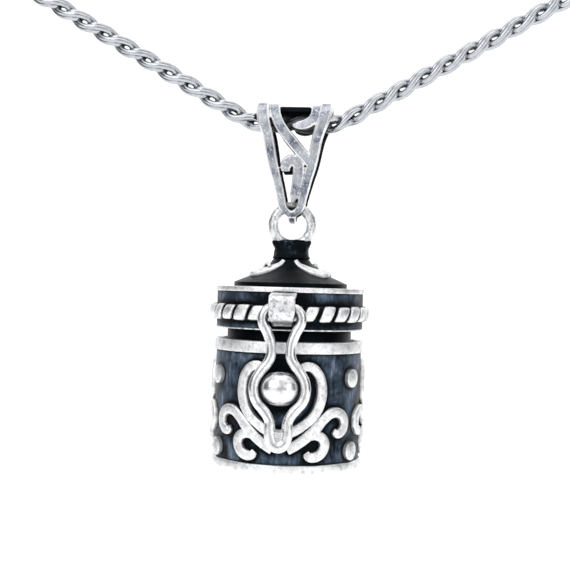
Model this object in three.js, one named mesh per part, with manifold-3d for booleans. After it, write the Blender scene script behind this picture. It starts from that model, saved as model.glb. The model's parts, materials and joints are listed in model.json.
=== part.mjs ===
// A silver prayer-box locket on its chain: an openwork bail, a ring, a hinged lid with a domed
// top, and a round cup that a bent-wire hasp holds shut over a ball.
// Millimetres, +Z up. The origin is where the chain passes through the bail, so every height
// below is stacked downwards from there. The front of the locket faces -Y.
import * as THREE from 'three';
import { mergeVertices } from 'three/addons/utils/BufferGeometryUtils.js';
import Module from 'manifold-3d';

const wasm = await Module();
wasm.setup();

// ---------------------------------------------------------------- driving dimensions

// Chain
const CHAIN_DIAMETER = 1.6;
const CHAIN_SIDES = 8;
const CHAIN_STEPS = 30;
// The right half of the route, as [x, z]; the left half mirrors it.
const CHAIN_ROUTE = [
  [0, 0], [1.3, 0], [2.6, 0.01], [3.7, 0.1], [5, 0.55], [6.85, 1.6], [8.6, 2.6],
  [12.4, 4.8], [16.5, 7.15], [20.3, 9.35], [24.5, 11.75], [28, 13.75],
];
const LOOP_DIAMETER = 3.2;
const LOOP_WIRE = 0.6;
const LOOP_GAP = 0.2;

// Bail: a strap bent into a teardrop loop, seen from the front as a V
const BAIL_STRAP = 0.76;
const BAIL_SEAT_GAP = 0.2;
const BAIL_TOP_BORE = 1.75;
const BAIL_FOOT_BORE = 0.95;
const BAIL_BORE_SPACING = 7.0;
const BAIL_TOP_WIDTH = 7.2;
const BAIL_FOOT_WIDTH = 2.95;
const BAIL_RAIL = 0.85;
const BAIL_WEB_WIDTH = 1.3;
const BAIL_WIRE = 0.8;
const BAIL_CLEARANCE = 0.1;

// Ring and neck
const RING_HOLE = 3.04;
const RING_WIRE = 0.76;
const RING_DEPTH = 1.0;
const RING_FOOT = 0.35;
const NECK_HEIGHT = 1.33;
const NECK_TOP_RADIUS = 1.9;
const NECK_WAIST_RADIUS = 1.68;
const NECK_FOOT_RADIUS = 1.7;

// Dome and its curled leaves
const DOME_RADIUS = 5.35;
const DOME_EDGE = 0.4;
const DOME_HEIGHT = 2.65;
const LEAF_PAIRS = 2;
const LEAF_WIDTH = 0.9;
const LEAF_THICKNESS = 0.4;

// Lid
// How far the lid's wall stands out past the cup's.
const LID_OVERHANG = 0.06;
const LID_WALL = 0.75;
const LID_WALL_HEIGHT = 3.42;
const LID_PLATE = 0.47;
const LID_PLATE_PROUD = 0.1;
const ROPE_DROP = 1.07;
const ROPE_HEIGHT = 1.61;
const ROPE_THICKNESS = 0.6;

// Cup
const LID_GAP = 0.98;
const CUP_RADIUS = 6.84;
const CUP_WALL = 0.74;
const CUP_WALL_HEIGHT = 9.89;
const CUP_BAND_HEIGHT = 1.07;
const CUP_BAND_PROUD = 0.16;
const CUP_BASE = 0.81;
const COLLAR_WALL = 0.4;
const COLLAR_CLEARANCE = 0.25;
const COLLAR_RISE = 1.43;
const COLLAR_DEPTH = 2.3;

// Ornament on the cup: flat wires and dots soldered to the wall
const MOTIF_COUNT = 3;
// The cup that the motif's points are drawn for; on another cup it is stretched to fit.
const MOTIF_DRAWN_RADIUS = 6.84;
const MOTIF_DRAWN_HEIGHT = 9.89;
const TRIM_WIDTH = 0.78;
const TRIM_THICKNESS = 0.42;
const SOLDER_GAP = 0.05;
const DOT_DIAMETER = 1.67;
const DOT_UPPER_DROP = 2.21;
const DOT_LOWER_RISE = 1.05;

// Hasp, its staple on the lid and the ball it closes over
const HASP_WIRE = 0.94;
const HASP_SIDES = 8;
const HASP_PIVOT_DROP = 1.43;
const HASP_PIVOT_STANDOFF = 0.64;
const HASP_BALL_CLEARANCE = 0.2;
const HASP_EYE_HALF = 1.68;
const HASP_WAIST_HALF = 0.86;
const HASP_TIP_HALF = 0.8;
const HASP_TIP_SHANK = 0.1;
const HASP_TIP_DROP = 12.6;
const HASP_TIP_THICKNESS = 0.62;
const STAPLE_WIDTH = 2.3;
const STAPLE_THICKNESS = 0.35;
const STAPLE_CLEARANCE = 0.16;
const BALL_DIAMETER = 3.2;
const BALL_STANDOFF = 1.41;
const BALL_DROP = 4.03;
const BALL_TO_HASP = 0.45;

// Hinge at the back
const HINGE_PIN_DIAMETER = 0.6;
const HINGE_KNUCKLE_DIAMETER = 1.5;
const HINGE_STANDOFF = 0.8;
const HINGE_KNUCKLE_LENGTH = 1.5;
const HINGE_RUNNING_GAP = 0.05;
const HINGE_SIDE_GAP = 0.15;
const HINGE_LEAF = 0.4;
// The cup's leaf; the lid's fills the space under the rope.
const HINGE_LEAF_HEIGHT = 1.0;
const HINGE_PIN_HEAD = 0.35;

const ROUND_STEPS = 40;

// ---------------------------------------------------------------- derived heights and radii

const bailTopZ = CHAIN_DIAMETER / 2 + BAIL_SEAT_GAP - BAIL_TOP_BORE;
const bailFootZ = bailTopZ - BAIL_BORE_SPACING;
const ringZ = bailFootZ - (RING_HOLE + RING_WIRE) / 2;
const neckTopZ = ringZ - RING_HOLE / 2 - RING_FOOT;
const domeTopZ = neckTopZ - NECK_HEIGHT;
const lidTopZ = domeTopZ - DOME_HEIGHT;
const lidWallTopZ = lidTopZ - LID_PLATE;
const lidWallFootZ = lidWallTopZ - LID_WALL_HEIGHT;
const cupTopZ = lidWallFootZ - LID_GAP;
const cupWallTopZ = cupTopZ - CUP_BAND_HEIGHT;
const cupWallFootZ = cupWallTopZ - CUP_WALL_HEIGHT;
const baseZ = cupWallFootZ - CUP_BASE;

const cupBore = CUP_RADIUS - CUP_WALL;
const cupBandRadius = CUP_RADIUS + CUP_BAND_PROUD;
const lidRadius = CUP_RADIUS + LID_OVERHANG;
const lidBore = lidRadius - LID_WALL;
const ropeRadius = lidRadius + SOLDER_GAP + ROPE_THICKNESS;
const ropeTopZ = lidWallTopZ - ROPE_DROP;
const ropeFootZ = ropeTopZ - ROPE_HEIGHT;
const collarRadius = Math.min(lidBore, cupBore) - COLLAR_CLEARANCE;
const collarBore = collarRadius - COLLAR_WALL;

const pivot = new THREE.Vector3(0, -(ropeRadius + HASP_PIVOT_STANDOFF), lidWallTopZ - HASP_PIVOT_DROP);
const ballCentre = new THREE.Vector3(0, -(CUP_RADIUS + BALL_STANDOFF), cupTopZ - BALL_DROP);
const hinge = new THREE.Vector3(0, cupBandRadius + HINGE_STANDOFF - CUP_BAND_PROUD / 2,
  (lidWallFootZ + cupTopZ) / 2);

// ---------------------------------------------------------------- solids and booleans

// Turns a geometry the right way out, with its shared vertices merged.
function closed(geometry) {
  const bare = geometry.clone();
  bare.deleteAttribute('normal');
  bare.deleteAttribute('uv');
  const merged = mergeVertices(bare, 1e-4);
  const index = Array.from(merged.index.array);
  const kept = [];
  let volume = 0;
  const a = new THREE.Vector3();
  const b = new THREE.Vector3();
  const c = new THREE.Vector3();
  for (let i = 0; i < index.length; i += 3) {
    const [p, q, r] = [index[i], index[i + 1], index[i + 2]];
    if (p === q || q === r || r === p) continue;
    kept.push(p, q, r);
    a.fromBufferAttribute(merged.attributes.position, p);
    b.fromBufferAttribute(merged.attributes.position, q);
    c.fromBufferAttribute(merged.attributes.position, r);
    volume += a.dot(b.cross(c));
  }
  if (volume < 0) {
    for (let i = 0; i < kept.length; i += 3) [kept[i + 1], kept[i + 2]] = [kept[i + 2], kept[i + 1]];
  }
  merged.setIndex(kept);
  return merged;
}

function toSolid(geometry) {
  const merged = closed(geometry);
  return new wasm.Manifold(new wasm.Mesh({
    numProp: 3,
    vertProperties: new Float32Array(merged.attributes.position.array),
    triVerts: new Uint32Array(merged.index.array),
  }));
}

function toGeometry(solid) {
  const mesh = solid.getMesh();
  const geometry = new THREE.BufferGeometry();
  geometry.setAttribute('position', new THREE.BufferAttribute(new Float32Array(mesh.vertProperties), 3));
  geometry.setIndex(Array.from(mesh.triVerts));
  return geometry;
}

function joined(...geometries) {
  return toGeometry(geometries.map(toSolid).reduce((sum, solid) => sum.add(solid)));
}

function cut(geometry, ...tools) {
  return toGeometry(tools.map(toSolid).reduce((rest, tool) => rest.subtract(tool), toSolid(geometry)));
}

function common(geometry, tool) {
  return toGeometry(toSolid(geometry).intersect(toSolid(tool)));
}

// ---------------------------------------------------------------- basic shapes

// A body turned about Z. The profile is a list of [radius, z].
function turned(profile, steps = ROUND_STEPS) {
  const points = profile.map(([r, z]) => new THREE.Vector2(r, z));
  return closed(new THREE.LatheGeometry(points, steps).rotateX(Math.PI / 2));
}

function tubeRing(inner, outer, low, high) {
  return turned([[inner, low], [outer, low], [outer, high], [inner, high], [inner, low]]);
}

function block(x0, x1, y0, y1, z0, z1) {
  return new THREE.BoxGeometry(x1 - x0, y1 - y0, z1 - z0)
    .translate((x0 + x1) / 2, (y0 + y1) / 2, (z0 + z1) / 2);
}

// A round bar along X.
function barX(radius, x0, x1, y, z, sides = 16) {
  return new THREE.CylinderGeometry(radius, radius, x1 - x0, sides)
    .rotateZ(Math.PI / 2).translate((x0 + x1) / 2, y, z);
}

// A flat outline in the XZ plane, as wide as depth along Y and centred on it.
function plateXZ(shape, depth, curveSegments = 8) {
  return new THREE.ExtrudeGeometry(shape, { depth, bevelEnabled: false, curveSegments })
    .rotateX(Math.PI / 2).translate(0, depth / 2, 0);
}

// A path whose sections keep one side on a surface, so a flat wire lies flat on it.
class SurfacePath extends THREE.Curve {
  constructor(place, normalAt) {
    super();
    this.place = place;
    this.normalAt = normalAt;
  }

  getPoint(t, target = new THREE.Vector3()) {
    return target.copy(this.place(t));
  }

  computeFrenetFrames(steps) {
    const frames = { tangents: [], normals: [], binormals: [] };
    for (let i = 0; i <= steps; i++) {
      const tangent = this.getTangentAt(i / steps);
      const outward = this.normalAt(this.getPointAt(i / steps));
      const across = new THREE.Vector3().crossVectors(tangent, outward).normalize();
      frames.tangents.push(tangent);
      frames.normals.push(new THREE.Vector3().crossVectors(across, tangent));
      frames.binormals.push(across);
    }
    return frames;
  }
}

function swept(section, path, steps) {
  return closed(new THREE.ExtrudeGeometry(section, { steps, extrudePath: path, bevelEnabled: false }));
}

function roundSection(radius, sides) {
  const points = [];
  for (let i = 0; i < sides; i++) {
    const angle = (2 * Math.PI * i) / sides;
    points.push(new THREE.Vector2(radius * Math.cos(angle), radius * Math.sin(angle)));
  }
  return new THREE.Shape(points);
}

// A flat wire: flat underneath, its top edges rounded off.
function flatSection(width, thickness) {
  const [half, shoulder] = [width / 2, thickness * 0.55];
  return new THREE.Shape([
    new THREE.Vector2(0, -half), new THREE.Vector2(shoulder, -half), new THREE.Vector2(thickness, -half * 0.5),
    new THREE.Vector2(thickness, half * 0.5), new THREE.Vector2(shoulder, half), new THREE.Vector2(0, half),
  ]);
}

function smoothFlat(points) {
  return new THREE.SplineCurve(points.map(([x, z]) => new THREE.Vector2(x, z)));
}

const outwardFromAxis = (point) => new THREE.Vector3(point.x, point.y, 0).normalize();

// A path of [arc, z] points laid on the cup's wall; arc is measured from the front, rightwards.
function cupPath(points, turn) {
  const flat = smoothFlat(points);
  const radius = CUP_RADIUS + SOLDER_GAP;
  return new SurfacePath((t) => {
    const at = flat.getPoint(t);
    const angle = turn + at.x / CUP_RADIUS;
    return new THREE.Vector3(radius * Math.sin(angle), -radius * Math.cos(angle), at.y);
  }, outwardFromAxis);
}

// ---------------------------------------------------------------- finishes and assembly

const FINISHES = {
  polished: { color: 0xe6e6e8, roughness: 0.18, metalness: 1 },
  blackened: { color: 0x3d4148, roughness: 0.5, metalness: 0.85 },
  chain: { color: 0xcfd1d6, roughness: 0.24, metalness: 1 },
};

const locket = new THREE.Group();
locket.name = 'prayer_box_locket';

function add(name, finish, geometry) {
  const mesh = new THREE.Mesh(geometry, new THREE.MeshStandardMaterial(FINISHES[finish]));
  mesh.name = name;
  locket.add(mesh);
}

// ---------------------------------------------------------------- chain

function chainCurve() {
  const right = CHAIN_ROUTE.map(([x, z]) => new THREE.Vector3(x, 0, z));
  const left = CHAIN_ROUTE.slice(1).map(([x, z]) => new THREE.Vector3(-x, 0, z)).reverse();
  return new THREE.CatmullRomCurve3([...left, ...right]);
}

// The loop that ends the chain on one side, where something outside holds it.
function chainLoop(side) {
  const last = CHAIN_ROUTE.at(-1);
  const before = CHAIN_ROUTE.at(-2);
  const along = new THREE.Vector2(last[0] - before[0], last[1] - before[1]).normalize();
  const reach = LOOP_GAP + (LOOP_DIAMETER + LOOP_WIRE) / 2;
  return new THREE.TorusGeometry(LOOP_DIAMETER / 2, LOOP_WIRE / 2, 6, 16)
    .rotateX(Math.PI / 2)
    .translate(side * (last[0] + along.x * reach), 0, last[1] + along.y * reach);
}

add('chain_run', 'chain', swept(roundSection(CHAIN_DIAMETER / 2, CHAIN_SIDES), chainCurve(), CHAIN_STEPS));
add('chain_loop_left', 'chain', chainLoop(-1));
add('chain_loop_right', 'chain', chainLoop(1));

// ---------------------------------------------------------------- bail

// The side view of the strap: two round ends joined by straight sides, as a closed outline.
function teardrop(topRadius, footRadius) {
  const lean = Math.asin((topRadius - footRadius) / BAIL_BORE_SPACING);
  const shape = new THREE.Shape();
  shape.absarc(0, bailTopZ, topRadius, -lean, Math.PI + lean, false);
  shape.absarc(0, bailFootZ, footRadius, Math.PI + lean, 2 * Math.PI - lean, false);
  return shape;
}

function bailStrap() {
  const outline = teardrop(BAIL_TOP_BORE + BAIL_STRAP, BAIL_FOOT_BORE + BAIL_STRAP);
  outline.holes.push(teardrop(BAIL_TOP_BORE, BAIL_FOOT_BORE));
  return new THREE.ExtrudeGeometry(outline, { depth: BAIL_TOP_WIDTH, bevelEnabled: false, curveSegments: 10 })
    .rotateX(Math.PI / 2).rotateZ(Math.PI / 2).translate(-BAIL_TOP_WIDTH / 2, 0, 0);
}

// The V seen from the front, with its round foot.
function bailOutline() {
  const [top, foot] = [BAIL_TOP_WIDTH / 2, BAIL_FOOT_WIDTH / 2];
  const crown = bailTopZ + BAIL_TOP_BORE + 2 * BAIL_STRAP;
  const footCentre = bailFootZ - BAIL_FOOT_BORE - BAIL_STRAP + foot;
  const shape = new THREE.Shape();
  shape.moveTo(-top, crown);
  shape.lineTo(-foot, footCentre);
  shape.absarc(0, footCentre, foot, Math.PI, 2 * Math.PI, false);
  shape.lineTo(top, crown);
  return shape;
}

// Half the V's outer width at a height.
function bailHalfWidth(z) {
  const crown = bailTopZ + BAIL_TOP_BORE + 2 * BAIL_STRAP;
  const footCentre = bailFootZ - BAIL_FOOT_BORE - BAIL_STRAP + BAIL_FOOT_WIDTH / 2;
  const share = (z - footCentre) / (crown - footCentre);
  return THREE.MathUtils.lerp(BAIL_FOOT_WIDTH, BAIL_TOP_WIDTH, share) / 2;
}

// The cut-outs of the openwork: the eye under the crown, the slots on either side of the
// diagonal strip, and the long drop below it that holds the hook.
function bailCutouts() {
  const inner = (z) => bailHalfWidth(z) - BAIL_RAIL;
  const eye = new THREE.Shape();
  eye.moveTo(-1.1, 0.75);
  eye.quadraticCurveTo(-1.0, 1.3, 0.1, 1.3);
  eye.quadraticCurveTo(1.3, 1.3, 1.3, 0.85);
  eye.quadraticCurveTo(0.9, 0.2, -0.35, 0.15);
  const leftSlot = new THREE.Shape();
  leftSlot.moveTo(-inner(0.8) - 0.1, 0.8);
  leftSlot.quadraticCurveTo(-1.9, -0.9, -0.75, -2.35);
  leftSlot.lineTo(-inner(-2.9), -2.9);
  const rightSlot = new THREE.Shape();
  rightSlot.moveTo(inner(0.8), 0.8);
  rightSlot.quadraticCurveTo(1.8, -0.75, 0.1, -0.5);
  rightSlot.quadraticCurveTo(0.9, -1.5, inner(-2.9) - 0.1, -2.9);
  const dropTop = -3.0;
  const dropFoot = bailFootZ - 0.55;
  const drop = new THREE.Shape();
  drop.moveTo(-inner(-4) + 0.05, -4);
  drop.quadraticCurveTo(-inner(-3) + 0.1, dropTop, -0.3, dropTop);
  drop.quadraticCurveTo(0.9, dropTop - 0.1, inner(-4.4) - 0.05, -4.4);
  drop.lineTo(0.35, dropFoot + 0.2);
  drop.quadraticCurveTo(0, dropFoot - 0.15, -0.35, dropFoot + 0.2);
  return [eye, leftSlot, rightSlot, drop];
}

const bailDepth = 2 * (BAIL_TOP_BORE + BAIL_STRAP) + 1;

function bailFrame() {
  const shell = common(bailStrap(), plateXZ(bailOutline(), bailDepth, 12));
  const tools = bailCutouts().map((shape) => plateXZ(shape, bailDepth));
  const webReach = BAIL_FOOT_BORE;
  const sides = [-1, 1].map((side) => {
    const [near, far] = [side * BAIL_WEB_WIDTH / 2, side * BAIL_TOP_WIDTH];
    return block(Math.min(near, far), Math.max(near, far), -webReach, webReach,
      bailFootZ - BAIL_TOP_WIDTH, bailFootZ);
  });
  return cut(shell, ...tools, ...sides);
}

// The hook inside the drop, lying in the strap on one side; side is -1 in front, 1 behind.
function bailHook(side) {
  const centre = smoothFlat([
    [-0.62, -4.3], [-0.72, -3.85], [-0.25, -3.55], [0.3, -3.8], [0.52, -4.6], [0.35, -5.6], [0.02, -6.5],
  ]);
  const inPlane = new SurfacePath((t) => {
    const at = centre.getPoint(t);
    return new THREE.Vector3(at.x, 0, at.y);
  }, () => new THREE.Vector3(0, side, 0));
  const width = BAIL_WIRE / 2 - BAIL_CLEARANCE;
  const section = new THREE.Shape([
    new THREE.Vector2(0, -width), new THREE.Vector2(bailDepth, -width),
    new THREE.Vector2(bailDepth, width), new THREE.Vector2(0, width),
  ]);
  return common(swept(section, inPlane, 24), bailStrap());
}

add('bail_frame', 'polished', bailFrame());
add('bail_hook_front', 'polished', bailHook(-1));
add('bail_hook_back', 'polished', bailHook(1));

// ---------------------------------------------------------------- ring, neck and dome

function topRing() {
  const wireRadius = RING_WIRE / 2;
  const ring = new THREE.TorusGeometry(RING_HOLE / 2 + wireRadius, wireRadius, 8, 24)
    .rotateX(Math.PI / 2).scale(1, RING_DEPTH / RING_WIRE, 1).translate(0, 0, ringZ);
  const reach = RING_HOLE;
  return cut(ring, block(-reach, reach, -reach, reach, neckTopZ - reach, neckTopZ));
}

function neck() {
  return turned([
    [0, domeTopZ], [NECK_FOOT_RADIUS, domeTopZ], [NECK_WAIST_RADIUS, domeTopZ + NECK_HEIGHT * 0.35],
    [NECK_WAIST_RADIUS, domeTopZ + NECK_HEIGHT * 0.7], [NECK_TOP_RADIUS, neckTopZ], [0, neckTopZ],
  ], 24);
}

// The dome's flare, from the neck down to its edge, as radius and height.
const flare = smoothFlat([
  [NECK_FOOT_RADIUS, domeTopZ], [NECK_FOOT_RADIUS + 0.5, domeTopZ - 0.62],
  [NECK_FOOT_RADIUS + 1.5, domeTopZ - 1.3], [DOME_RADIUS, lidTopZ + DOME_EDGE],
]);

function dome() {
  const outline = flare.getPoints(8).map((point) => [point.x, point.y]);
  return turned([[0, domeTopZ], ...outline, [DOME_RADIUS, lidTopZ], [0, lidTopZ]]);
}

// One leaf: a strap that runs down from the neck and round the flare, to the right if side is 1
// and to the left if it is -1. Its points are [turn in degrees, share of the way down the flare].
function domeLeaf(turn, side) {
  const flat = smoothFlat([[11, 0.05], [29, 0.27], [46, 0.46], [60, 0.55], [73, 0.57]]
    .map(([degrees, share]) => [side * THREE.MathUtils.degToRad(degrees), share]));
  const normalOf = (share) => {
    const along = flare.getTangentAt(share);
    return new THREE.Vector2(-along.y, along.x);
  };
  const place = (t) => {
    const at = flat.getPoint(t);
    const lift = normalOf(at.y).multiplyScalar(SOLDER_GAP);
    const on = flare.getPointAt(at.y).add(lift);
    const angle = turn + at.x;
    return new THREE.Vector3(on.x * Math.sin(angle), -on.x * Math.cos(angle), on.y);
  };
  const share = (point) => THREE.MathUtils.clamp(
    (Math.hypot(point.x, point.y) - NECK_FOOT_RADIUS) / (DOME_RADIUS - NECK_FOOT_RADIUS), 0, 1);
  const path = new SurfacePath(place, (point) => {
    const tilt = normalOf(share(point));
    const radial = outwardFromAxis(point).multiplyScalar(tilt.x);
    return radial.setZ(tilt.y).normalize();
  });
  return swept(flatSection(LEAF_WIDTH, LEAF_THICKNESS), path, 14);
}

add('top_ring', 'polished', topRing());
add('neck', 'blackened', neck());
add('dome', 'blackened', dome());
for (let i = 0; i < LEAF_PAIRS; i++) {
  const turn = (i * 2 * Math.PI) / LEAF_PAIRS;
  add(`dome_leaf_right_${i + 1}`, 'polished', domeLeaf(turn, 1));
  add(`dome_leaf_left_${i + 1}`, 'polished', domeLeaf(turn, -1));
}

// ---------------------------------------------------------------- lid

add('lid_plate', 'polished', turned([
  [0, lidWallTopZ], [lidRadius + LID_PLATE_PROUD, lidWallTopZ], [lidRadius + LID_PLATE_PROUD, lidTopZ],
  [0, lidTopZ],
]));
add('lid_wall', 'blackened', tubeRing(lidBore, lidRadius, lidWallFootZ, lidWallTopZ));

// The rope is plain here: a rounded hoop round the lid.
function ropeBand() {
  const [inner, foot, half] = [lidRadius + SOLDER_GAP, ropeFootZ, ROPE_HEIGHT / 2];
  const bevel = ROPE_THICKNESS / 2;
  return turned([
    [inner, foot], [inner + bevel, foot], [ropeRadius, foot + bevel], [ropeRadius, foot + half],
    [ropeRadius, ropeTopZ - bevel], [inner + bevel, ropeTopZ], [inner, ropeTopZ], [inner, foot],
  ]);
}
add('rope_band', 'polished', ropeBand());

// ---------------------------------------------------------------- cup

add('cup_wall', 'blackened', tubeRing(cupBore, CUP_RADIUS, cupWallFootZ, cupWallTopZ));
add('cup_band', 'polished', tubeRing(cupBore, cupBandRadius, cupWallTopZ, cupTopZ));
add('cup_base', 'polished', turned([
  [0, baseZ], [cupBandRadius, baseZ], [cupBandRadius, cupWallFootZ], [0, cupWallFootZ],
]));

// The collar is soldered inside the cup and guides the lid.
function collar() {
  const [foot, shoulder, top] = [cupTopZ - COLLAR_DEPTH, cupTopZ - SOLDER_GAP, cupTopZ + COLLAR_RISE];
  const seat = cupBore - SOLDER_GAP;
  return turned([
    [collarBore, foot], [seat, foot], [seat, shoulder], [collarRadius, shoulder], [collarRadius, top],
    [collarBore, top], [collarBore, foot],
  ]);
}
add('collar', 'blackened', collar());

// ---------------------------------------------------------------- ornament on the cup

const up = (rise) => cupWallFootZ + (rise * CUP_WALL_HEIGHT) / MOTIF_DRAWN_HEIGHT;
const round = (arc) => (arc * CUP_RADIUS) / MOTIF_DRAWN_RADIUS;

// The tulip: a U of flat wire, open at the top, its ends turned in.
function tulip(turn) {
  const right = [[0, 2.75], [1.1, 3.05], [2.0, 3.6], [2.95, 4.5], [3.55, 5.8], [3.6, 7.0], [3.2, 8.2],
    [2.4, 8.8], [1.75, 8.6]].map(([arc, rise]) => [round(arc), up(rise)]);
  const left = right.slice(1).map(([arc, z]) => [-arc, z]).reverse();
  return swept(flatSection(TRIM_WIDTH, TRIM_THICKNESS), cupPath([...left, ...right], turn), 32);
}

// A scroll: a stem that rises outwards from the foot and ends in a hook, with a second hook
// branching off below it. side is 1 for the right one and -1 for the left one.
function scroll(turn, side) {
  const mirror = ([arc, rise]) => [side * round(arc), up(rise)];
  const stem = [[0.55, 1.25], [1.3, 1.75], [2.3, 2.55], [3.1, 3.3], [3.85, 4.1], [4.75, 4.65],
    [5.7, 4.5], [6.2, 3.8], [5.95, 3.0], [5.3, 2.75]].map(mirror);
  const branch = [[2.75, 2.75], [3.6, 2.45], [3.95, 1.8], [3.7, 1.05], [3.0, 0.72], [2.4, 1.0]].map(mirror);
  const section = flatSection(TRIM_WIDTH, TRIM_THICKNESS);
  return joined(swept(section, cupPath(stem, turn), 22), swept(section, cupPath(branch, turn), 12));
}

// A dot is a short round stud on the wall.
function dot(turn, z) {
  return new THREE.CylinderGeometry(DOT_DIAMETER / 2, DOT_DIAMETER * 0.36, TRIM_THICKNESS, 14)
    .translate(0, -(CUP_RADIUS + SOLDER_GAP + TRIM_THICKNESS / 2), z).rotateZ(turn);
}

for (let i = 0; i < MOTIF_COUNT; i++) {
  const turn = (i * 2 * Math.PI) / MOTIF_COUNT;
  const between = turn + Math.PI / MOTIF_COUNT;
  add(`tulip_${i + 1}`, 'polished', tulip(turn));
  add(`scroll_right_${i + 1}`, 'polished', scroll(turn, 1));
  add(`scroll_left_${i + 1}`, 'polished', scroll(turn, -1));
  add(`dot_upper_${i + 1}`, 'polished', dot(between, cupWallTopZ - DOT_UPPER_DROP));
  add(`dot_lower_${i + 1}`, 'polished', dot(between, cupWallFootZ + DOT_LOWER_RISE));
}

// ---------------------------------------------------------------- ball, hasp and staple

// The ball is seated on the wall with a hollow that matches it.
function latchBall() {
  const ball = new THREE.SphereGeometry(BALL_DIAMETER / 2, 16, 10)
    .rotateX(Math.PI / 2).translate(ballCentre.x, ballCentre.y, ballCentre.z);
  const seat = CUP_RADIUS + SOLDER_GAP;
  const [low, high] = [ballCentre.z - BALL_DIAMETER, ballCentre.z + BALL_DIAMETER];
  return cut(ball, turned([[0, low], [seat, low], [seat, high], [0, high]], 96));
}

// The hasp hangs a little outwards, so its belly lies just outside the ball's widest point.
const haspLean = Math.atan2(pivot.y - (ballCentre.y - BALL_TO_HASP), pivot.z - ballCentre.z);
const ballDrop = (pivot.z - ballCentre.z) / Math.cos(haspLean);
const bellyRadius = (BALL_DIAMETER + HASP_WIRE) / 2 + HASP_BALL_CLEARANCE;
// The tongue is as wide as both legs, with a round end.
const tongueHalf = HASP_TIP_HALF + HASP_WIRE / 2;

// Lays a hasp shape, drawn in XZ with its pivot at the origin, where it hangs.
function hung(geometry) {
  return geometry.rotateX(-haspLean).translate(pivot.x, pivot.y, pivot.z);
}

// One side of the wire from the pivot bar down to the tip: x outwards, z down from the bar.
function haspSide(side) {
  const barHalf = STAPLE_WIDTH / 2;
  const points = [[-side * 0.2, 0], [side * barHalf * 0.6, 0], [side * barHalf, -0.01]];
  points.push([side * HASP_EYE_HALF * 0.97, -0.5], [side * HASP_EYE_HALF, -1.2]);
  points.push([side * 1.2, -2.2], [side * HASP_WAIST_HALF, -3.3], [side * 0.95, -4.4]);
  for (const angle of [40, 15, -10, -32, -50]) {
    const turn = THREE.MathUtils.degToRad(angle);
    points.push([side * bellyRadius * Math.cos(turn), -ballDrop + bellyRadius * Math.sin(turn)]);
  }
  points.push([side * HASP_TIP_HALF, -ballDrop - 2.75], [side * HASP_TIP_HALF, -ballDrop - 3.6]);
  points.push([side * HASP_TIP_HALF * 0.8, -HASP_TIP_DROP + tongueHalf * 0.75]);
  const curve = new THREE.CatmullRomCurve3(points.map(([x, z]) => new THREE.Vector3(x, 0, z)));
  return swept(roundSection(HASP_WIRE / 2, HASP_SIDES), curve, 34);
}

// The tongue that joins both sides at the foot.
function haspTip() {
  const shoulder = -HASP_TIP_DROP + tongueHalf + HASP_TIP_SHANK;
  const shape = new THREE.Shape();
  shape.moveTo(-tongueHalf, shoulder);
  shape.absarc(0, -HASP_TIP_DROP + tongueHalf, tongueHalf, Math.PI, 2 * Math.PI, false);
  shape.lineTo(tongueHalf, shoulder);
  return plateXZ(shape, HASP_TIP_THICKNESS);
}

// The staple: a strap over the hasp's bar, seated on the lid above and below it.
function staple() {
  const wire = HASP_WIRE / 2 + STAPLE_CLEARANCE;
  const front = pivot.y - wire - STAPLE_THICKNESS;
  const seat = -(lidRadius + SOLDER_GAP);
  const crest = pivot.z + wire;
  const sill = pivot.z - wire;
  const below = -(ropeRadius + SOLDER_GAP);
  const shape = new THREE.Shape();
  shape.moveTo(seat, lidWallTopZ - SOLDER_GAP);
  shape.lineTo(seat - STAPLE_THICKNESS, lidWallTopZ - SOLDER_GAP);
  shape.lineTo(front + 0.3, crest + STAPLE_THICKNESS);
  shape.lineTo(front, crest);
  shape.lineTo(front, sill - 0.2);
  shape.lineTo(below, sill - STAPLE_THICKNESS - 0.55);
  shape.lineTo(below, sill - 0.35);
  shape.lineTo(front + STAPLE_THICKNESS, sill);
  shape.lineTo(front + STAPLE_THICKNESS, crest - 0.1);
  shape.lineTo(front + STAPLE_THICKNESS + 0.15, crest);
  shape.lineTo(seat, Math.max(crest, ropeTopZ + SOLDER_GAP));
  return new THREE.ExtrudeGeometry(shape, { depth: STAPLE_WIDTH, bevelEnabled: false })
    .rotateX(Math.PI / 2).rotateZ(Math.PI / 2).translate(-STAPLE_WIDTH / 2, 0, 0);
}

add('latch_ball', 'polished', latchBall());
add('hasp', 'polished', hung(joined(haspSide(1), haspSide(-1), haspTip())));
add('staple', 'polished', cut(staple(), turned([[0, baseZ], [lidRadius + SOLDER_GAP, baseZ],
  [lidRadius + SOLDER_GAP, 0], [0, 0]], 96)));

// ---------------------------------------------------------------- hinge

const pinRadius = HINGE_PIN_DIAMETER / 2;
const knuckleRadius = HINGE_KNUCKLE_DIAMETER / 2;
const leafHalf = HINGE_KNUCKLE_LENGTH * 1.5 + HINGE_SIDE_GAP;

// A leaf with its knuckles: spans lists each knuckle's ends along X.
function hingeLeaf(spans, seatRadius, leafZ0, leafZ1, x0, x1) {
  const leafFace = seatRadius + SOLDER_GAP;
  const plate = cut(block(x0, x1, leafFace - 1, leafFace + HINGE_LEAF, leafZ0, leafZ1),
    turned([[0, leafZ0 - 1], [leafFace, leafZ0 - 1], [leafFace, leafZ1 + 1], [0, leafZ1 + 1]], 96));
  const parts = [plate];
  const upwards = leafZ0 > hinge.z;
  for (const [a, b] of spans) {
    parts.push(barX(knuckleRadius, a, b, hinge.y, hinge.z));
    const [low, high] = upwards ? [hinge.z, leafZ0 + 0.1] : [leafZ1 - 0.1, hinge.z];
    parts.push(block(a, b, hinge.y - pinRadius * 1.4, leafFace + HINGE_LEAF, low, high));
  }
  const bore = barX(pinRadius + HINGE_RUNNING_GAP, x0 - 1, x1 + 1, hinge.y, hinge.z);
  return cut(joined(...parts), bore);
}

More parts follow.
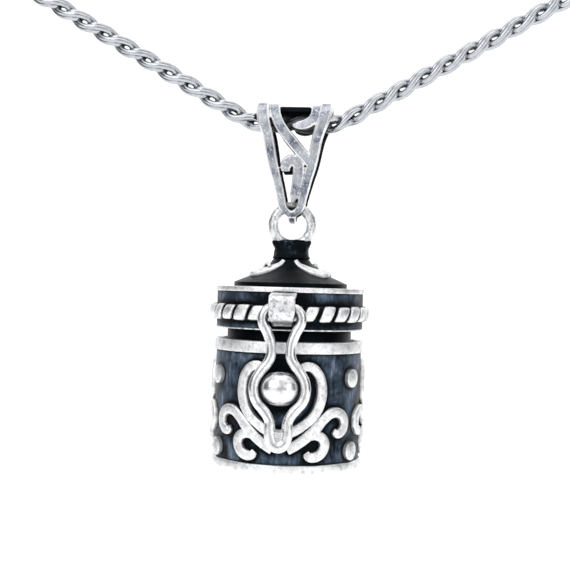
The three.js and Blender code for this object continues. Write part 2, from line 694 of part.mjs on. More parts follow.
const middle = HINGE_KNUCKLE_LENGTH / 2;
const cupLeafTopZ = hinge.z - knuckleRadius - HINGE_SIDE_GAP;
add('lid_hinge_leaf', 'polished', hingeLeaf([[-middle, middle]], lidRadius,
  lidWallFootZ, ropeFootZ - SOLDER_GAP, -middle, middle));
add('cup_hinge_leaf', 'polished', hingeLeaf(
  [[-leafHalf, -middle - HINGE_SIDE_GAP], [middle + HINGE_SIDE_GAP, leafHalf]], cupBandRadius,
  cupLeafTopZ - HINGE_LEAF_HEIGHT, cupLeafTopZ, -leafHalf, leafHalf));
add('hinge_pin', 'polished', barX(pinRadius, -leafHalf - HINGE_PIN_HEAD, leafHalf + HINGE_PIN_HEAD,
  hinge.y, hinge.z));

export default locket;
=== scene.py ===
"""A silver prayer-box locket on its chain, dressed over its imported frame."""

import json
import logging
import math
from collections.abc import Callable, Iterable
from dataclasses import dataclass, field
from enum import Enum

import bpy
from mathutils import Matrix, Vector

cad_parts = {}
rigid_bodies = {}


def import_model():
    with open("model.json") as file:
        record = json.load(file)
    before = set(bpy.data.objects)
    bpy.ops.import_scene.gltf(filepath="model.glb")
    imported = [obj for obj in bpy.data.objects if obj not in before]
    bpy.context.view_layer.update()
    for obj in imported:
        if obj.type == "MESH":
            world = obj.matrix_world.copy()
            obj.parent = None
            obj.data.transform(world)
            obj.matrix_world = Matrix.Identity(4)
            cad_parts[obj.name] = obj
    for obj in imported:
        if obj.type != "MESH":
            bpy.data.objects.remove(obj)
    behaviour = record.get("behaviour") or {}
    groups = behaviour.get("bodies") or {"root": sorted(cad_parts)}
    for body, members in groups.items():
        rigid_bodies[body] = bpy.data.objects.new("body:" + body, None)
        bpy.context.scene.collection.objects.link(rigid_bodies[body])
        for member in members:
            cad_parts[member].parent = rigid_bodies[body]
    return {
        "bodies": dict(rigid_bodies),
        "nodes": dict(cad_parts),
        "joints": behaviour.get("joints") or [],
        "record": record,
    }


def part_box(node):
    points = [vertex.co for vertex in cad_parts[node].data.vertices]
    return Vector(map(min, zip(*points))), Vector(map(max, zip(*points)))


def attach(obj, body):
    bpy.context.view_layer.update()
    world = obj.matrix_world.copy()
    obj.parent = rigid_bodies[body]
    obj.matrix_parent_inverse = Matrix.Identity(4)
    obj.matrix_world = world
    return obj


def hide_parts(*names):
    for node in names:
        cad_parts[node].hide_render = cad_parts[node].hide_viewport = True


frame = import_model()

log = logging.getLogger("locket")

MM = 0.001
Point2 = tuple[float, float]
Placer = Callable[[float, float, float], Vector]


# ------------------------------------------------------------------ bench operations


class Bench:
    """Modelling by hand: each method is one habit of the bench, done with Blender's operators."""

    @staticmethod
    def clear() -> None:
        """Leaves edit mode and deselects everything."""
        if bpy.context.object is not None and bpy.context.object.mode != "OBJECT":
            bpy.ops.object.mode_set(mode="OBJECT")
        bpy.ops.object.select_all(action="DESELECT")

    @staticmethod
    def take(obj: bpy.types.Object) -> bpy.types.Object:
        """Makes one object the only selected and the active one."""
        Bench.clear()
        obj.select_set(True)
        bpy.context.view_layer.objects.active = obj
        return obj

    @staticmethod
    def settle(obj: bpy.types.Object, name: str) -> bpy.types.Object:
        """Puts an object's place into its mesh and names it.

        Args:
            obj: The object just made.
            name: The name of the piece.

        Returns:
            The same object, at the origin, unturned and unscaled.
        """
        Bench.take(obj)
        bpy.ops.object.transform_apply(location=True, rotation=True, scale=True)
        obj.name = name
        obj.data.name = name
        return obj

    @staticmethod
    def modify(obj: bpy.types.Object, kind: str, **settings: object) -> None:
        """Adds a modifier and applies it.

        Args:
            obj: The object to change.
            kind: The modifier's type, such as BEVEL.
            **settings: The modifier's own settings.
        """
        Bench.take(obj)
        modifier = obj.modifiers.new(kind.title(), kind)
        for key, value in settings.items():
            setattr(modifier, key, value)
        bpy.ops.object.modifier_apply(modifier=modifier.name)

    @staticmethod
    def weld(obj: bpy.types.Object, reach: float = 0.002 * MM) -> None:
        """Merges doubled vertices and turns every face outwards."""
        Bench.take(obj)
        bpy.ops.object.mode_set(mode="EDIT")
        bpy.ops.mesh.select_all(action="SELECT")
        bpy.ops.mesh.remove_doubles(threshold=reach)
        bpy.ops.mesh.normals_make_consistent(inside=False)
        bpy.ops.object.mode_set(mode="OBJECT")

    @staticmethod
    def smooth(obj: bpy.types.Object, degrees: float = 40) -> bpy.types.Object:
        """Shades faces smooth across edges flatter than an angle, and gives the object back."""
        Bench.take(obj)
        bpy.ops.object.shade_smooth_by_angle(angle=math.radians(degrees))
        return obj

    @staticmethod
    def join(parts: Iterable[bpy.types.Object], name: str) -> bpy.types.Object:
        """Joins objects into one, named mesh."""
        parts = list(parts)
        Bench.take(parts[0])
        for part in parts:
            part.select_set(True)
        if len(parts) > 1:
            bpy.ops.object.join()
        return Bench.settle(bpy.context.view_layer.objects.active, name)

    @staticmethod
    def fuse(obj: bpy.types.Object, grain: float, passes: int = 6) -> bpy.types.Object:
        """Melts overlapping parts into one casting with softened inner corners.

        Args:
            obj: The joined parts.
            grain: The size of the casting's finest detail, in metres.
            passes: How many times the surface is relaxed.

        Returns:
            The same object, as one closed surface.
        """
        Bench.modify(obj, "REMESH", mode="VOXEL", voxel_size=grain)
        Bench.modify(obj, "SMOOTH", factor=0.5, iterations=passes)
        return obj

    @staticmethod
    def hand_work(obj: bpy.types.Object, depth: float, scale: float) -> None:
        """Gives a surface the slight unevenness of hand work.

        Args:
            obj: A finely divided mesh.
            depth: How far the surface strays, in metres.
            scale: The size of its dents, in metres.
        """
        dents = bpy.data.textures.new(f"{obj.name}_dents", "CLOUDS")
        dents.noise_scale = scale
        dents.noise_depth = 1
        Bench.modify(obj, "DISPLACE", texture=dents, texture_coords="LOCAL", strength=depth, mid_level=0.5)

    @staticmethod
    def mark(obj: bpy.types.Object, name: str, measure: Callable[[Vector, Vector], float]) -> None:
        """Stores a number at every vertex for a finish to read.

        Args:
            obj: The finished mesh.
            name: The name that the finish reads.
            measure: Gives the number from a vertex's place, in metres, and its normal.
        """
        values = obj.data.attributes.new(name, "FLOAT", "POINT")
        numbers = [measure(vertex.co, vertex.normal) for vertex in obj.data.vertices]
        values.data.foreach_set("value", numbers)

    @staticmethod
    def turned(name: str, profile: list[Point2], steps: int = 144) -> bpy.types.Object:
        """Spins an outline round the Z axis.

        Args:
            name: The name of the piece.
            profile: Its radius and height at each corner, in millimetres, round the outline.
            steps: The number of faces round the axis.

        Returns:
            A closed body of revolution.
        """
        Bench.clear()
        radius, height = profile[0]
        bpy.ops.mesh.primitive_plane_add(size=MM, location=(radius * MM, 0, height * MM))
        obj = Bench.settle(bpy.context.object, name)
        bpy.ops.object.mode_set(mode="EDIT")
        bpy.ops.mesh.select_all(action="SELECT")
        bpy.ops.mesh.merge(type="CENTER")
        for (r0, z0), (r1, z1) in zip(profile, profile[1:]):
            step = ((r1 - r0) * MM, 0, (z1 - z0) * MM)
            bpy.ops.mesh.extrude_vertices_move(TRANSFORM_OT_translate={"value": step})
        bpy.ops.mesh.select_all(action="SELECT")
        bpy.ops.mesh.spin(steps=steps, angle=2 * math.pi, center=(0, 0, 0), axis=(0, 0, 1))
        Bench.weld(obj)
        return obj

    @staticmethod
    def bar(name: str, radius: float, start: Vector, end: Vector, sides: int = 40) -> bpy.types.Object:
        """Makes a round bar.

        Args:
            name: The name of the piece.
            radius: Its radius, in metres.
            start: The middle of one end, in metres.
            end: The middle of the other.
            sides: The number of faces round it.

        Returns:
            A closed cylinder.
        """
        Bench.clear()
        along = end - start
        turn = along.to_track_quat("Z", "Y").to_euler()
        bpy.ops.mesh.primitive_cylinder_add(
            vertices=sides, radius=radius, depth=along.length, location=(start + end) / 2, rotation=turn
        )
        return Bench.settle(bpy.context.object, name)


class Section(Enum):
    """The cross-section of a flat wire."""

    ROUNDED_TOP = "rounded top"
    SOFT_STRAP = "soft strap"

    def outline(self, width: float, height: float) -> list[Point2]:
        """The section's corners, its flat side down, in millimetres."""
        half = width / 2
        if self is Section.SOFT_STRAP:
            soft = min(width, height) * 0.22
            corners = [(-half, soft), (-half + soft, 0), (half - soft, 0), (half, soft)]
            return corners + [(x, height - z) for x, z in reversed(corners)]
        right = [
            (half, 0), (half, height * 0.62), (half * 0.93, height * 0.86),
            (half * 0.78, height * 0.98), (half * 0.3, height),
        ]
        return right + [(-x, z) for x, z in reversed(right)]


@dataclass
class Stroke:
    """A length of flat wire bent in a plane, its flat side on that plane.

    Attributes:
        points: Its centre line, in millimetres.
        width: How wide it lies on the plane.
        height: How far it stands up from it.
        swell: Its width along the way, as shares of width, one for each point or none.
        section: Its cross-section.
        closed: Whether its ends meet.
        fineness: How many steps each bend between two points is made of.
    """

    points: list[Point2]
    width: float
    height: float
    swell: list[float] = field(default_factory=list)
    section: Section = Section.ROUNDED_TOP
    closed: bool = False
    fineness: int = 10

    def bend(self, name: str) -> bpy.types.Object:
        """Bends the wire.

        Args:
            name: The name of the piece.

        Returns:
            A closed mesh in the XY plane that rises along +Z, in millimetres.
        """
        Bench.clear()
        bpy.ops.curve.primitive_bezier_circle_add()
        profile = bpy.context.object
        profile.data.dimensions = "2D"
        self.trace(profile.data, self.section.outline(self.width, self.height), "POLY", True)
        Bench.clear()
        bpy.ops.curve.primitive_bezier_curve_add()
        wire = bpy.context.object
        wire.data.dimensions = "3D"
        wire.data.twist_mode = "Z_UP"
        wire.data.resolution_u = self.fineness
        spline = self.trace(wire.data, self.points, "BEZIER", self.closed)
        for knot, share in zip(spline.bezier_points, self.swell):
            knot.radius = share
        wire.data.bevel_mode = "OBJECT"
        wire.data.bevel_object = profile
        wire.data.use_fill_caps = not self.closed
        Bench.take(wire)
        bpy.ops.object.convert(target="MESH")
        wire = Bench.settle(bpy.context.object, name)
        bpy.data.objects.remove(profile)
        Bench.weld(wire, 0.002)
        return wire

    @staticmethod
    def trace(curve: bpy.types.Curve, points: list[Point2], kind: str, closed: bool) -> bpy.types.Spline:
        """Replaces a curve's line with one through the points.

        Args:
            curve: The curve to change.
            points: Its points in the XY plane.
            kind: The spline's type: BEZIER bends at each point and POLY has a corner there.
            closed: Whether its ends meet.

        Returns:
            The new spline.
        """
        curve.splines.clear()
        spline = curve.splines.new(kind)
        knots = spline.bezier_points if kind == "BEZIER" else spline.points
        knots.add(len(points) - 1)
        for knot, (x, y) in zip(knots, points):
            if kind == "BEZIER":
                knot.co = (x, y, 0)
                knot.handle_left_type = knot.handle_right_type = "AUTO"
            else:
                knot.co = (x, y, 0, 1)
        spline.use_cyclic_u = closed
        return spline


def lay_on(obj: bpy.types.Object, place: Placer) -> bpy.types.Object:
    """Lays a flat piece, drawn in millimetres, on a curved surface.

    Args:
        obj: The flat piece: x across, y up, z out of the surface.
        place: Gives the point in metres for each x, y and z.

    Returns:
        The same object, lying on the surface.
    """
    for vertex in obj.data.vertices:
        vertex.co = place(*vertex.co)
    Bench.weld(obj)
    return obj


def wire_through(name: str, points: list[Vector], radius: float, swell: Iterable[float] = (),
                 closed: bool = False, sides: int = 5, fineness: int = 8) -> bpy.types.Object:
    """Bends a round wire through points in space.

    Args:
        name: The name of the piece.
        points: Its centre line, in metres.
        radius: Its radius, in metres.
        swell: Its radius along the way, as shares of radius, one for each point or none.
        closed: Whether its ends meet.
        sides: How finely its round section is divided.
        fineness: How many steps each bend between two points is made of.

    Returns:
        A closed mesh.
    """
    Bench.clear()
    bpy.ops.curve.primitive_bezier_curve_add()
    wire = bpy.context.object
    curve = wire.data
    curve.dimensions = "3D"
    curve.splines.clear()
    spline = curve.splines.new("BEZIER")
    spline.bezier_points.add(len(points) - 1)
    for knot, point in zip(spline.bezier_points, points):
        knot.co = point
        knot.handle_left_type = knot.handle_right_type = "AUTO"
    for knot, share in zip(spline.bezier_points, swell):
        knot.radius = share
    spline.use_cyclic_u = closed
    curve.resolution_u = fineness
    curve.bevel_depth = radius
    curve.bevel_resolution = sides
    curve.use_fill_caps = not closed
    Bench.take(wire)
    bpy.ops.object.convert(target="MESH")
    wire = Bench.settle(bpy.context.object, name)
    Bench.weld(wire)
    return wire


def flowing(knots: list[Vector], steps: int) -> list[Vector]:
    """Divides the line through some points finely, bending smoothly at each of them.

    Args:
        knots: The points.
        steps: How many pieces each stretch between two points is divided into.

    Returns:
        The points of the finer line, the first and last of the knots at its ends.
    """
    fine = []
    for i in range(len(knots) - 1):
        before, start, end = knots[max(i - 1, 0)], knots[i], knots[i + 1]
        after = knots[min(i + 2, len(knots) - 1)]
        for step in range(steps):
            t = step / steps
            fine.append(0.5 * (
                2 * start + (end - before) * t
                + (2 * before - 5 * start + 4 * end - after) * t**2
                + (3 * start - before - 3 * end + after) * t**3
            ))
    return fine + [knots[-1]]


def along_line(line: list[Vector], distance: float) -> tuple[Vector, Vector]:
    """The point and the direction at a distance along a line."""
    for start, end in zip(line, line[1:]):
        length = (end - start).length
        if distance <= length:
            return start.lerp(end, distance / length), (end - start).normalized()
        distance -= length
    return line[-1], (line[-1] - line[-2]).normalized()


# ------------------------------------------------------------------ shader arithmetic


class Signal:
    """A shader socket that can be added to, multiplied and mixed as a number."""

    def __init__(self, book: "NodeBook", socket: bpy.types.NodeSocket) -> None:
        """Wraps one output socket of a material's nodes."""
        self.book = book
        self.socket = socket

    def _math(self, operation: str, *values: "Signal | float") -> "Signal":
        """One Math node on the values."""
        node = self.book.node("ShaderNodeMath", {"operation": operation}, dict(enumerate(values)))
        return Signal(self.book, node.outputs[0])

    def __add__(self, other: "Signal | float") -> "Signal":
        """The sum."""
        return self._math("ADD", self, other)

    __radd__ = __add__

    def __mul__(self, other: "Signal | float") -> "Signal":
        """The product."""
        return self._math("MULTIPLY", self, other)

    __rmul__ = __mul__

    def __sub__(self, other: "Signal | float") -> "Signal":
        """The difference."""
        return self._math("SUBTRACT", self, other)

    def __rsub__(self, other: float) -> "Signal":
        """The difference from a number."""
        return self._math("SUBTRACT", other, self)

    def largest(self, other: "Signal | float") -> "Signal":
        """The larger of two values."""
        return self._math("MAXIMUM", self, other)

    def ramp(self, low: float, high: float) -> "Signal":
        """Goes smoothly from 0 at low to 1 at high."""
        node = self.book.node(
            "ShaderNodeMapRange", {"interpolation_type": "SMOOTHSTEP"},
            {0: self, 1: low, 2: high, 3: 0.0, 4: 1.0},
        )
        return Signal(self.book, node.outputs[0])


class NodeBook:
    """A material's nodes, added one by one and linked as they are added."""

    def __init__(self, owner: bpy.types.Material | bpy.types.World) -> None:
        """Empties the nodes of a material or of the world."""
        owner.use_nodes = True
        self.owner = owner
        self.tree = owner.node_tree
        self.tree.nodes.clear()

    @classmethod
    def material(cls, name: str) -> "NodeBook":
        """Starts a new material."""
        return cls(bpy.data.materials.new(name))

    def node(self, kind: str, settings: dict[str, object], inputs: dict) -> bpy.types.Node:
        """Adds a node.

        Args:
            kind: The node's type.
            settings: Its own settings, which are set first; stops is a ramp's list of places and colours.
            inputs: A value, Signal or socket for each input socket.

        Returns:
            The node.
        """
        node = self.tree.nodes.new(kind)
        for key, value in settings.items():
            if key == "stops":
                self._stops(node.color_ramp, value)
            else:
                setattr(node, key, value)
        for key, value in inputs.items():
            if isinstance(value, Signal):
                value = value.socket
            if isinstance(value, bpy.types.NodeSocket):
                self.tree.links.new(value, node.inputs[key])
            else:
                node.inputs[key].default_value = value
        return node

    @staticmethod
    def _stops(ramp: bpy.types.ColorRamp, stops: list[tuple[float, tuple[float, ...]]]) -> None:
        """Sets a colour ramp's stops."""
        while len(ramp.elements) < len(stops):
            ramp.elements.new(0.5)
        for element, (place, colour) in zip(ramp.elements, stops):
            element.position = place
            element.color = (*colour, 1)

    def place(self, stretch: tuple[float, float, float] = (1, 1, 1)) -> bpy.types.NodeSocket:
        """Object coordinates in millimetres, stretched along each axis."""
        where = self.node("ShaderNodeTexCoord", {}, {}).outputs["Object"]
        scale = tuple(share / MM for share in stretch)
        return self.node("ShaderNodeMapping", {}, {"Vector": where, "Scale": scale}).outputs[0]

    def noise(self, size: float, detail: float = 4, roughness: float = 0.55, warp: float = 0.0,
              stretch: tuple[float, float, float] = (1, 1, 1)) -> Signal:
        """Cloudy noise.

        Args:
            size: How wide its patches are, in millimetres.
            detail: How many finer layers it has.
            roughness: How strong the finer layers are.
            warp: How far it is distorted.
            stretch: How much denser it is along each axis.

        Returns:
            A number about 0.5 at every place.
        """
        node = self.node(
            "ShaderNodeTexNoise", {},
            {"Vector": self.place(stretch), "Scale": 1 / size, "Detail": detail, "Roughness": roughness,
             "Distortion": warp},
        )
        return Signal(self, node.outputs["Fac"])

    def marked(self, name: str) -> Signal:
        """The number stored at every vertex under a name."""
        return Signal(self, self.node("ShaderNodeAttribute", {"attribute_name": name}, {}).outputs["Fac"])

    def openness(self, reach: float) -> Signal:
        """How open the surface is: 0 deep in a recess and 1 where nothing is near within reach."""
        node = self.node("ShaderNodeAmbientOcclusion", {"samples": 16}, {"Distance": reach})
        return Signal(self, node.outputs["AO"])

    def blend(self, share: Signal, low: object, high: object) -> bpy.types.NodeSocket:
        """A colour between two: low where the share is 0 and high where it is 1."""
        node = self.node("ShaderNodeMix", {"data_type": "RGBA"}, {"Factor": share})
        for socket, value in ((node.inputs[6], low), (node.inputs[7], high)):
            if isinstance(value, bpy.types.NodeSocket):
                self.tree.links.new(value, socket)
            else:
                socket.default_value = (*value, 1)
        return node.outputs[2]

    def bump(self, height: Signal, depth: float, strength: float = 1.0,
             under: bpy.types.NodeSocket | None = None) -> bpy.types.NodeSocket:
        """Surface relief.

        Args:
            height: The shape of the relief, from 0 to 1.
            depth: How deep it is, in metres.
            strength: The share of it that shows.
            under: An earlier relief that it lies on.

        Returns:
            The normal for a shader or for the next relief.
        """
        inputs = {"Height": height, "Distance": depth, "Strength": strength}
        if under is not None:
            inputs["Normal"] = under
        return self.node("ShaderNodeBump", {}, inputs).outputs[0]

    def finish(self, colour: object, roughness: object, metallic: object, normal: object,
               **constants: object) -> bpy.types.Material:
        """Ends the material in one Principled shader.

        Args:
            colour: A value or socket for its base colour.
            roughness: The same for its roughness.
            metallic: The same for how metallic it is.
            normal: The relief.
            **constants: Values for other sockets, named after them.

        Returns:
            The finished material.
        """
        inputs = {"Base Color": colour, "Roughness": roughness, "Metallic": metallic, "Normal": normal}
        inputs |= {key.replace("_", " ").title(): value for key, value in constants.items()}
        shader = self.node("ShaderNodeBsdfPrincipled", {}, inputs)
        self.node("ShaderNodeOutputMaterial", {}, {"Surface": shader.outputs[0]})
        return self.owner


# ------------------------------------------------------------------ finishes


@dataclass(frozen=True)
class PolishedSilver:
    """Bright silver, dull and dark in hollows and between close parts: partly tarnished silver, partly
    painted shade.

    It reads a mark that is 1 on parts lying in shade, such as the chain inside the bail, and paints them
    darker.

    Attributes:
        name: The material's name.
        bright: The colour of the polished surface.
        grey: The colour of its duller patches.
        tarnish_and_shade: The colour in the hollows, partly tarnished silver and partly painted shade.
        grime_and_shade: How far that dark colour spreads out of the hollows, from 0 to 1.
        hollow: How near another surface must be to bring on the dark colour, in millimetres.
        gloss: The roughness of the polished surface.
        dents: The depth of the hand-work relief, in millimetres.
        grain: The depth of its fine pits, in millimetres.
    """

    name: str = "polished_silver"
    bright: tuple[float, float, float] = (0.9, 0.9, 0.91)
    grey: tuple[float, float, float] = (0.66, 0.67, 0.69)
    tarnish_and_shade: tuple[float, float, float] = (0.012, 0.016, 0.021)
    grime_and_shade: float = 0.4
    hollow: float = 0.7
    gloss: float = 0.14
    dents: float = 0.015
    grain: float = 0.003

    def make(self) -> bpy.types.Material:
        """Builds the material."""
        book = NodeBook.material(self.name)
        patch = book.noise(0.9, detail=5, roughness=0.65)
        speck = book.noise(0.16, detail=3)
        # Painted shade, partly tarnished silver: the colour darkens near other surfaces, in hollows and in
        # the gaps between chain links.
        open_air = book.openness(self.hollow * MM)
        # Painted shade on the marked parts, such as the chain inside the bail.
        shade = open_air - book.marked("sheltered") * 0.5
        shade = shade + (patch - 0.5) * 0.4 * self.grime_and_shade + (speck - 0.5) * 0.3 * self.grime_and_shade
        clean_and_lit = shade.ramp(0.3 + 0.22 * self.grime_and_shade, 0.62 + 0.24 * self.grime_and_shade)
        dull = (book.noise(0.6, detail=4, roughness=0.65) + (speck - 0.5) * 0.5).ramp(0.42, 0.72)
        colour = book.blend(clean_and_lit, self.tarnish_and_shade, book.blend(dull, self.bright, self.grey))
        scratches = book.noise(0.12, detail=2, stretch=(1, 1, 7))
        roughness = self.gloss + (1 - clean_and_lit) * 0.32 + scratches * 0.1 + patch.ramp(0.5, 0.8) * 0.08
        dents = book.bump(book.noise(0.55, detail=2), self.dents * MM)
        normal = book.bump(scratches + speck * 0.8, self.grain * MM, under=dents)
        return book.finish(colour, roughness, 0.35 + clean_and_lit * 0.65, normal)


@dataclass(frozen=True)
class OpenworkSilver:
    """Cast silver with its outer faces rubbed grey, a painted highlight on their rims, and black walls
    behind them that are partly painted shade.

    It reads the mark "proud", which is 1 on the outer face, 0 on the walls and -1 on the inner face.

    Attributes:
        name: The material's name.
        bright: The colour of the painted highlight on the rims and of the rubbed specks.
        middle: The colour of the outer faces.
        blotch: The colour of their darker patches.
        black: The colour of the walls and the inner faces, partly oxide in the openwork and partly painted
            shade inside the loop.
    """

    name: str = "openwork_silver"
    bright: tuple[float, float, float] = (0.93, 0.93, 0.94)
    middle: tuple[float, float, float] = (0.44, 0.46, 0.5)
    blotch: tuple[float, float, float] = (0.11, 0.13, 0.19)
    black: tuple[float, float, float] = (0.006, 0.009, 0.012)

    def make(self) -> bpy.types.Material:
        """Builds the material."""
        book = NodeBook.material(self.name)
        proud = book.marked("proud")
        cloud = book.noise(1.5, detail=4, roughness=0.55, warp=0.3)
        speck = book.noise(0.2, detail=4, roughness=0.7)
        face = proud.ramp(0.2, 0.5)
        # Painted highlight: where the outer face rounds over at its edges, and on the outer sides of the
        # frame, the colour is bright.
        highlit_rim = 1 - proud.ramp(0.8, 0.97)
        mottled = book.blend((cloud + (speck - 0.5) * 0.6).ramp(0.42, 0.62), self.middle, self.blotch)
        specked = book.blend(speck.ramp(0.5, 0.66) * 0.75, mottled, self.bright)
        faced = book.blend(highlit_rim, specked, self.bright)
        # The walls and inner face are black: partly oxide in the openwork, partly painted shade inside the
        # loop.
        colour = book.blend(face, self.black, faced)
        grain = book.bump(speck, 0.012 * MM)
        normal = book.bump(cloud, 0.03 * MM, under=grain)
        return book.finish(colour, 0.34 + speck * 0.14, 0.9, normal)


@dataclass(frozen=True)
class BlackenedSilver:
    """Oxidised silver: black by the ornament, mottled blue-grey in the open, rubbed bright in streaks.

    Attributes:
        name: The material's name.
        black: The colour in the recesses.
        blue_grey: The colour in the open.
        rubbed: The colour where the oxide is worn off.
        wear: How much of the open surface is worn, from 0 to 1.
        soot: How much more of it stays black, from 0 to 1.
    """

    name: str = "blackened_silver"
    black: tuple[float, float, float] = (0.003, 0.005, 0.0065)
    blue_grey: tuple[float, float, float] = (0.13, 0.185, 0.265)
    rubbed: tuple[float, float, float] = (0.55, 0.6, 0.68)
    wear: float = 0.75
    soot: float = 0.0

    def make(self) -> bpy.types.Material:
        """Builds the material."""
        book = NodeBook.material(self.name)
        cloud = book.noise(2.6, detail=5, roughness=0.6, warp=0.4)
        brushing = book.noise(0.4, detail=5, roughness=0.7, stretch=(1, 1, 0.22))
        speck = book.noise(0.13, detail=3, roughness=0.7)
        open_air = book.openness(1.7 * MM).ramp(0.72, 0.98)
        lit = (open_air * (cloud * 1.4 + brushing * 0.7 - 0.5)).ramp(0.25 + self.soot, 0.85 + self.soot)
        worn = ((cloud * 0.8 + brushing * 0.9 + speck * 0.35) * open_air).ramp(1.2 - 0.2 * self.wear,
                                                                              1.5 - 0.2 * self.wear)
        colour = book.blend(worn * 0.75, book.blend(lit, self.black, self.blue_grey), self.rubbed)
        roughness = 0.3 + brushing * 0.3 - worn * 0.1
        grain = book.bump(brushing * 0.7 + speck * 0.5, 0.015 * MM)
        normal = book.bump(cloud, 0.05 * MM, under=grain)
        return book.finish(colour, roughness, 0.95, normal)


@dataclass(frozen=True)
class Finishes:
    """The finishes of the locket, one made material for each."""

    polished: bpy.types.Material
    satin: bpy.types.Material
    worn: bpy.types.Material
    openwork: bpy.types.Material
    blackened: bpy.types.Material
    sooty: bpy.types.Material
    chain: bpy.types.Material

    @classmethod
    def make(cls) -> "Finishes":
        """Builds every finish once."""
        return cls(
            polished=PolishedSilver().make(),
            satin=PolishedSilver(
                name="satin_silver", bright=(0.95, 0.95, 0.95), grey=(0.6, 0.61, 0.63),
                grime_and_shade=0.45, gloss=0.36, dents=0.02, grain=0.008,
            ).make(),
            worn=PolishedSilver(
                name="worn_silver", bright=(0.9, 0.9, 0.9), grey=(0.34, 0.36, 0.4),
                grime_and_shade=1.0, gloss=0.3, dents=0.03, grain=0.008,
            ).make(),
            openwork=OpenworkSilver().make(),
            blackened=BlackenedSilver().make(),
            sooty=BlackenedSilver(name="sooty_silver", soot=0.3, wear=0.2).make(),
            # Painted shade: the chain's darker colours stand in for the darker surroundings that its links
            # mirror.
            chain=PolishedSilver(
                name="chain_silver", bright=(0.52, 0.54, 0.57), grey=(0.42, 0.44, 0.47),
                grime_and_shade=0.55, hollow=0.4, gloss=0.14, dents=0.0, grain=0.001,
            ).make(),
        )


class Slot(Enum):
    """The record's material slots."""

    POLISHED = "polished_silver"
    BLACKENED = "blackened_silver"
    CHAIN = "chain_silver"


def dress(piece: bpy.types.Object, material: bpy.types.Material, slot: Slot, body: str,
          nodes: Iterable[str] = ()) -> bpy.types.Object:
    """Gives a piece its finish, its body and the nodes that it stands for.

    Args:
        piece: The finished mesh.
        material: Its finish.
        slot: The record's slot that the finish belongs to; not used.
        body: The body it moves with.
        nodes: The nodes it replaces.

    Returns:
        The same piece.
    """
    piece.data.materials.clear()
    piece.data.materials.append(material)
    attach(piece, body)
    nodes = list(nodes)
    if nodes:
        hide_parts(*nodes)
    log.info("%s rides on %s and stands for %s", piece.name, body, ", ".join(nodes) or "nothing")
    return piece


# ------------------------------------------------------------------ frame measurements


@dataclass(frozen=True)
class Span:
    """The box of one node, in millimetres."""

    low: Vector
    high: Vector

    @classmethod
    def of(cls, node: str) -> "Span":
        """Measures a node of the frame."""
        low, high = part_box(node)
        return cls(Vector(low) / MM, Vector(high) / MM)

    @property
    def radius(self) -> float:
        """Half the width along X, which is the radius of a piece round the Z axis."""
        return (self.high.x - self.low.x) / 2

    @property
    def middle(self) -> Vector:
        """The centre of the box."""
        return (self.low + self.high) / 2


# ------------------------------------------------------------------ chain


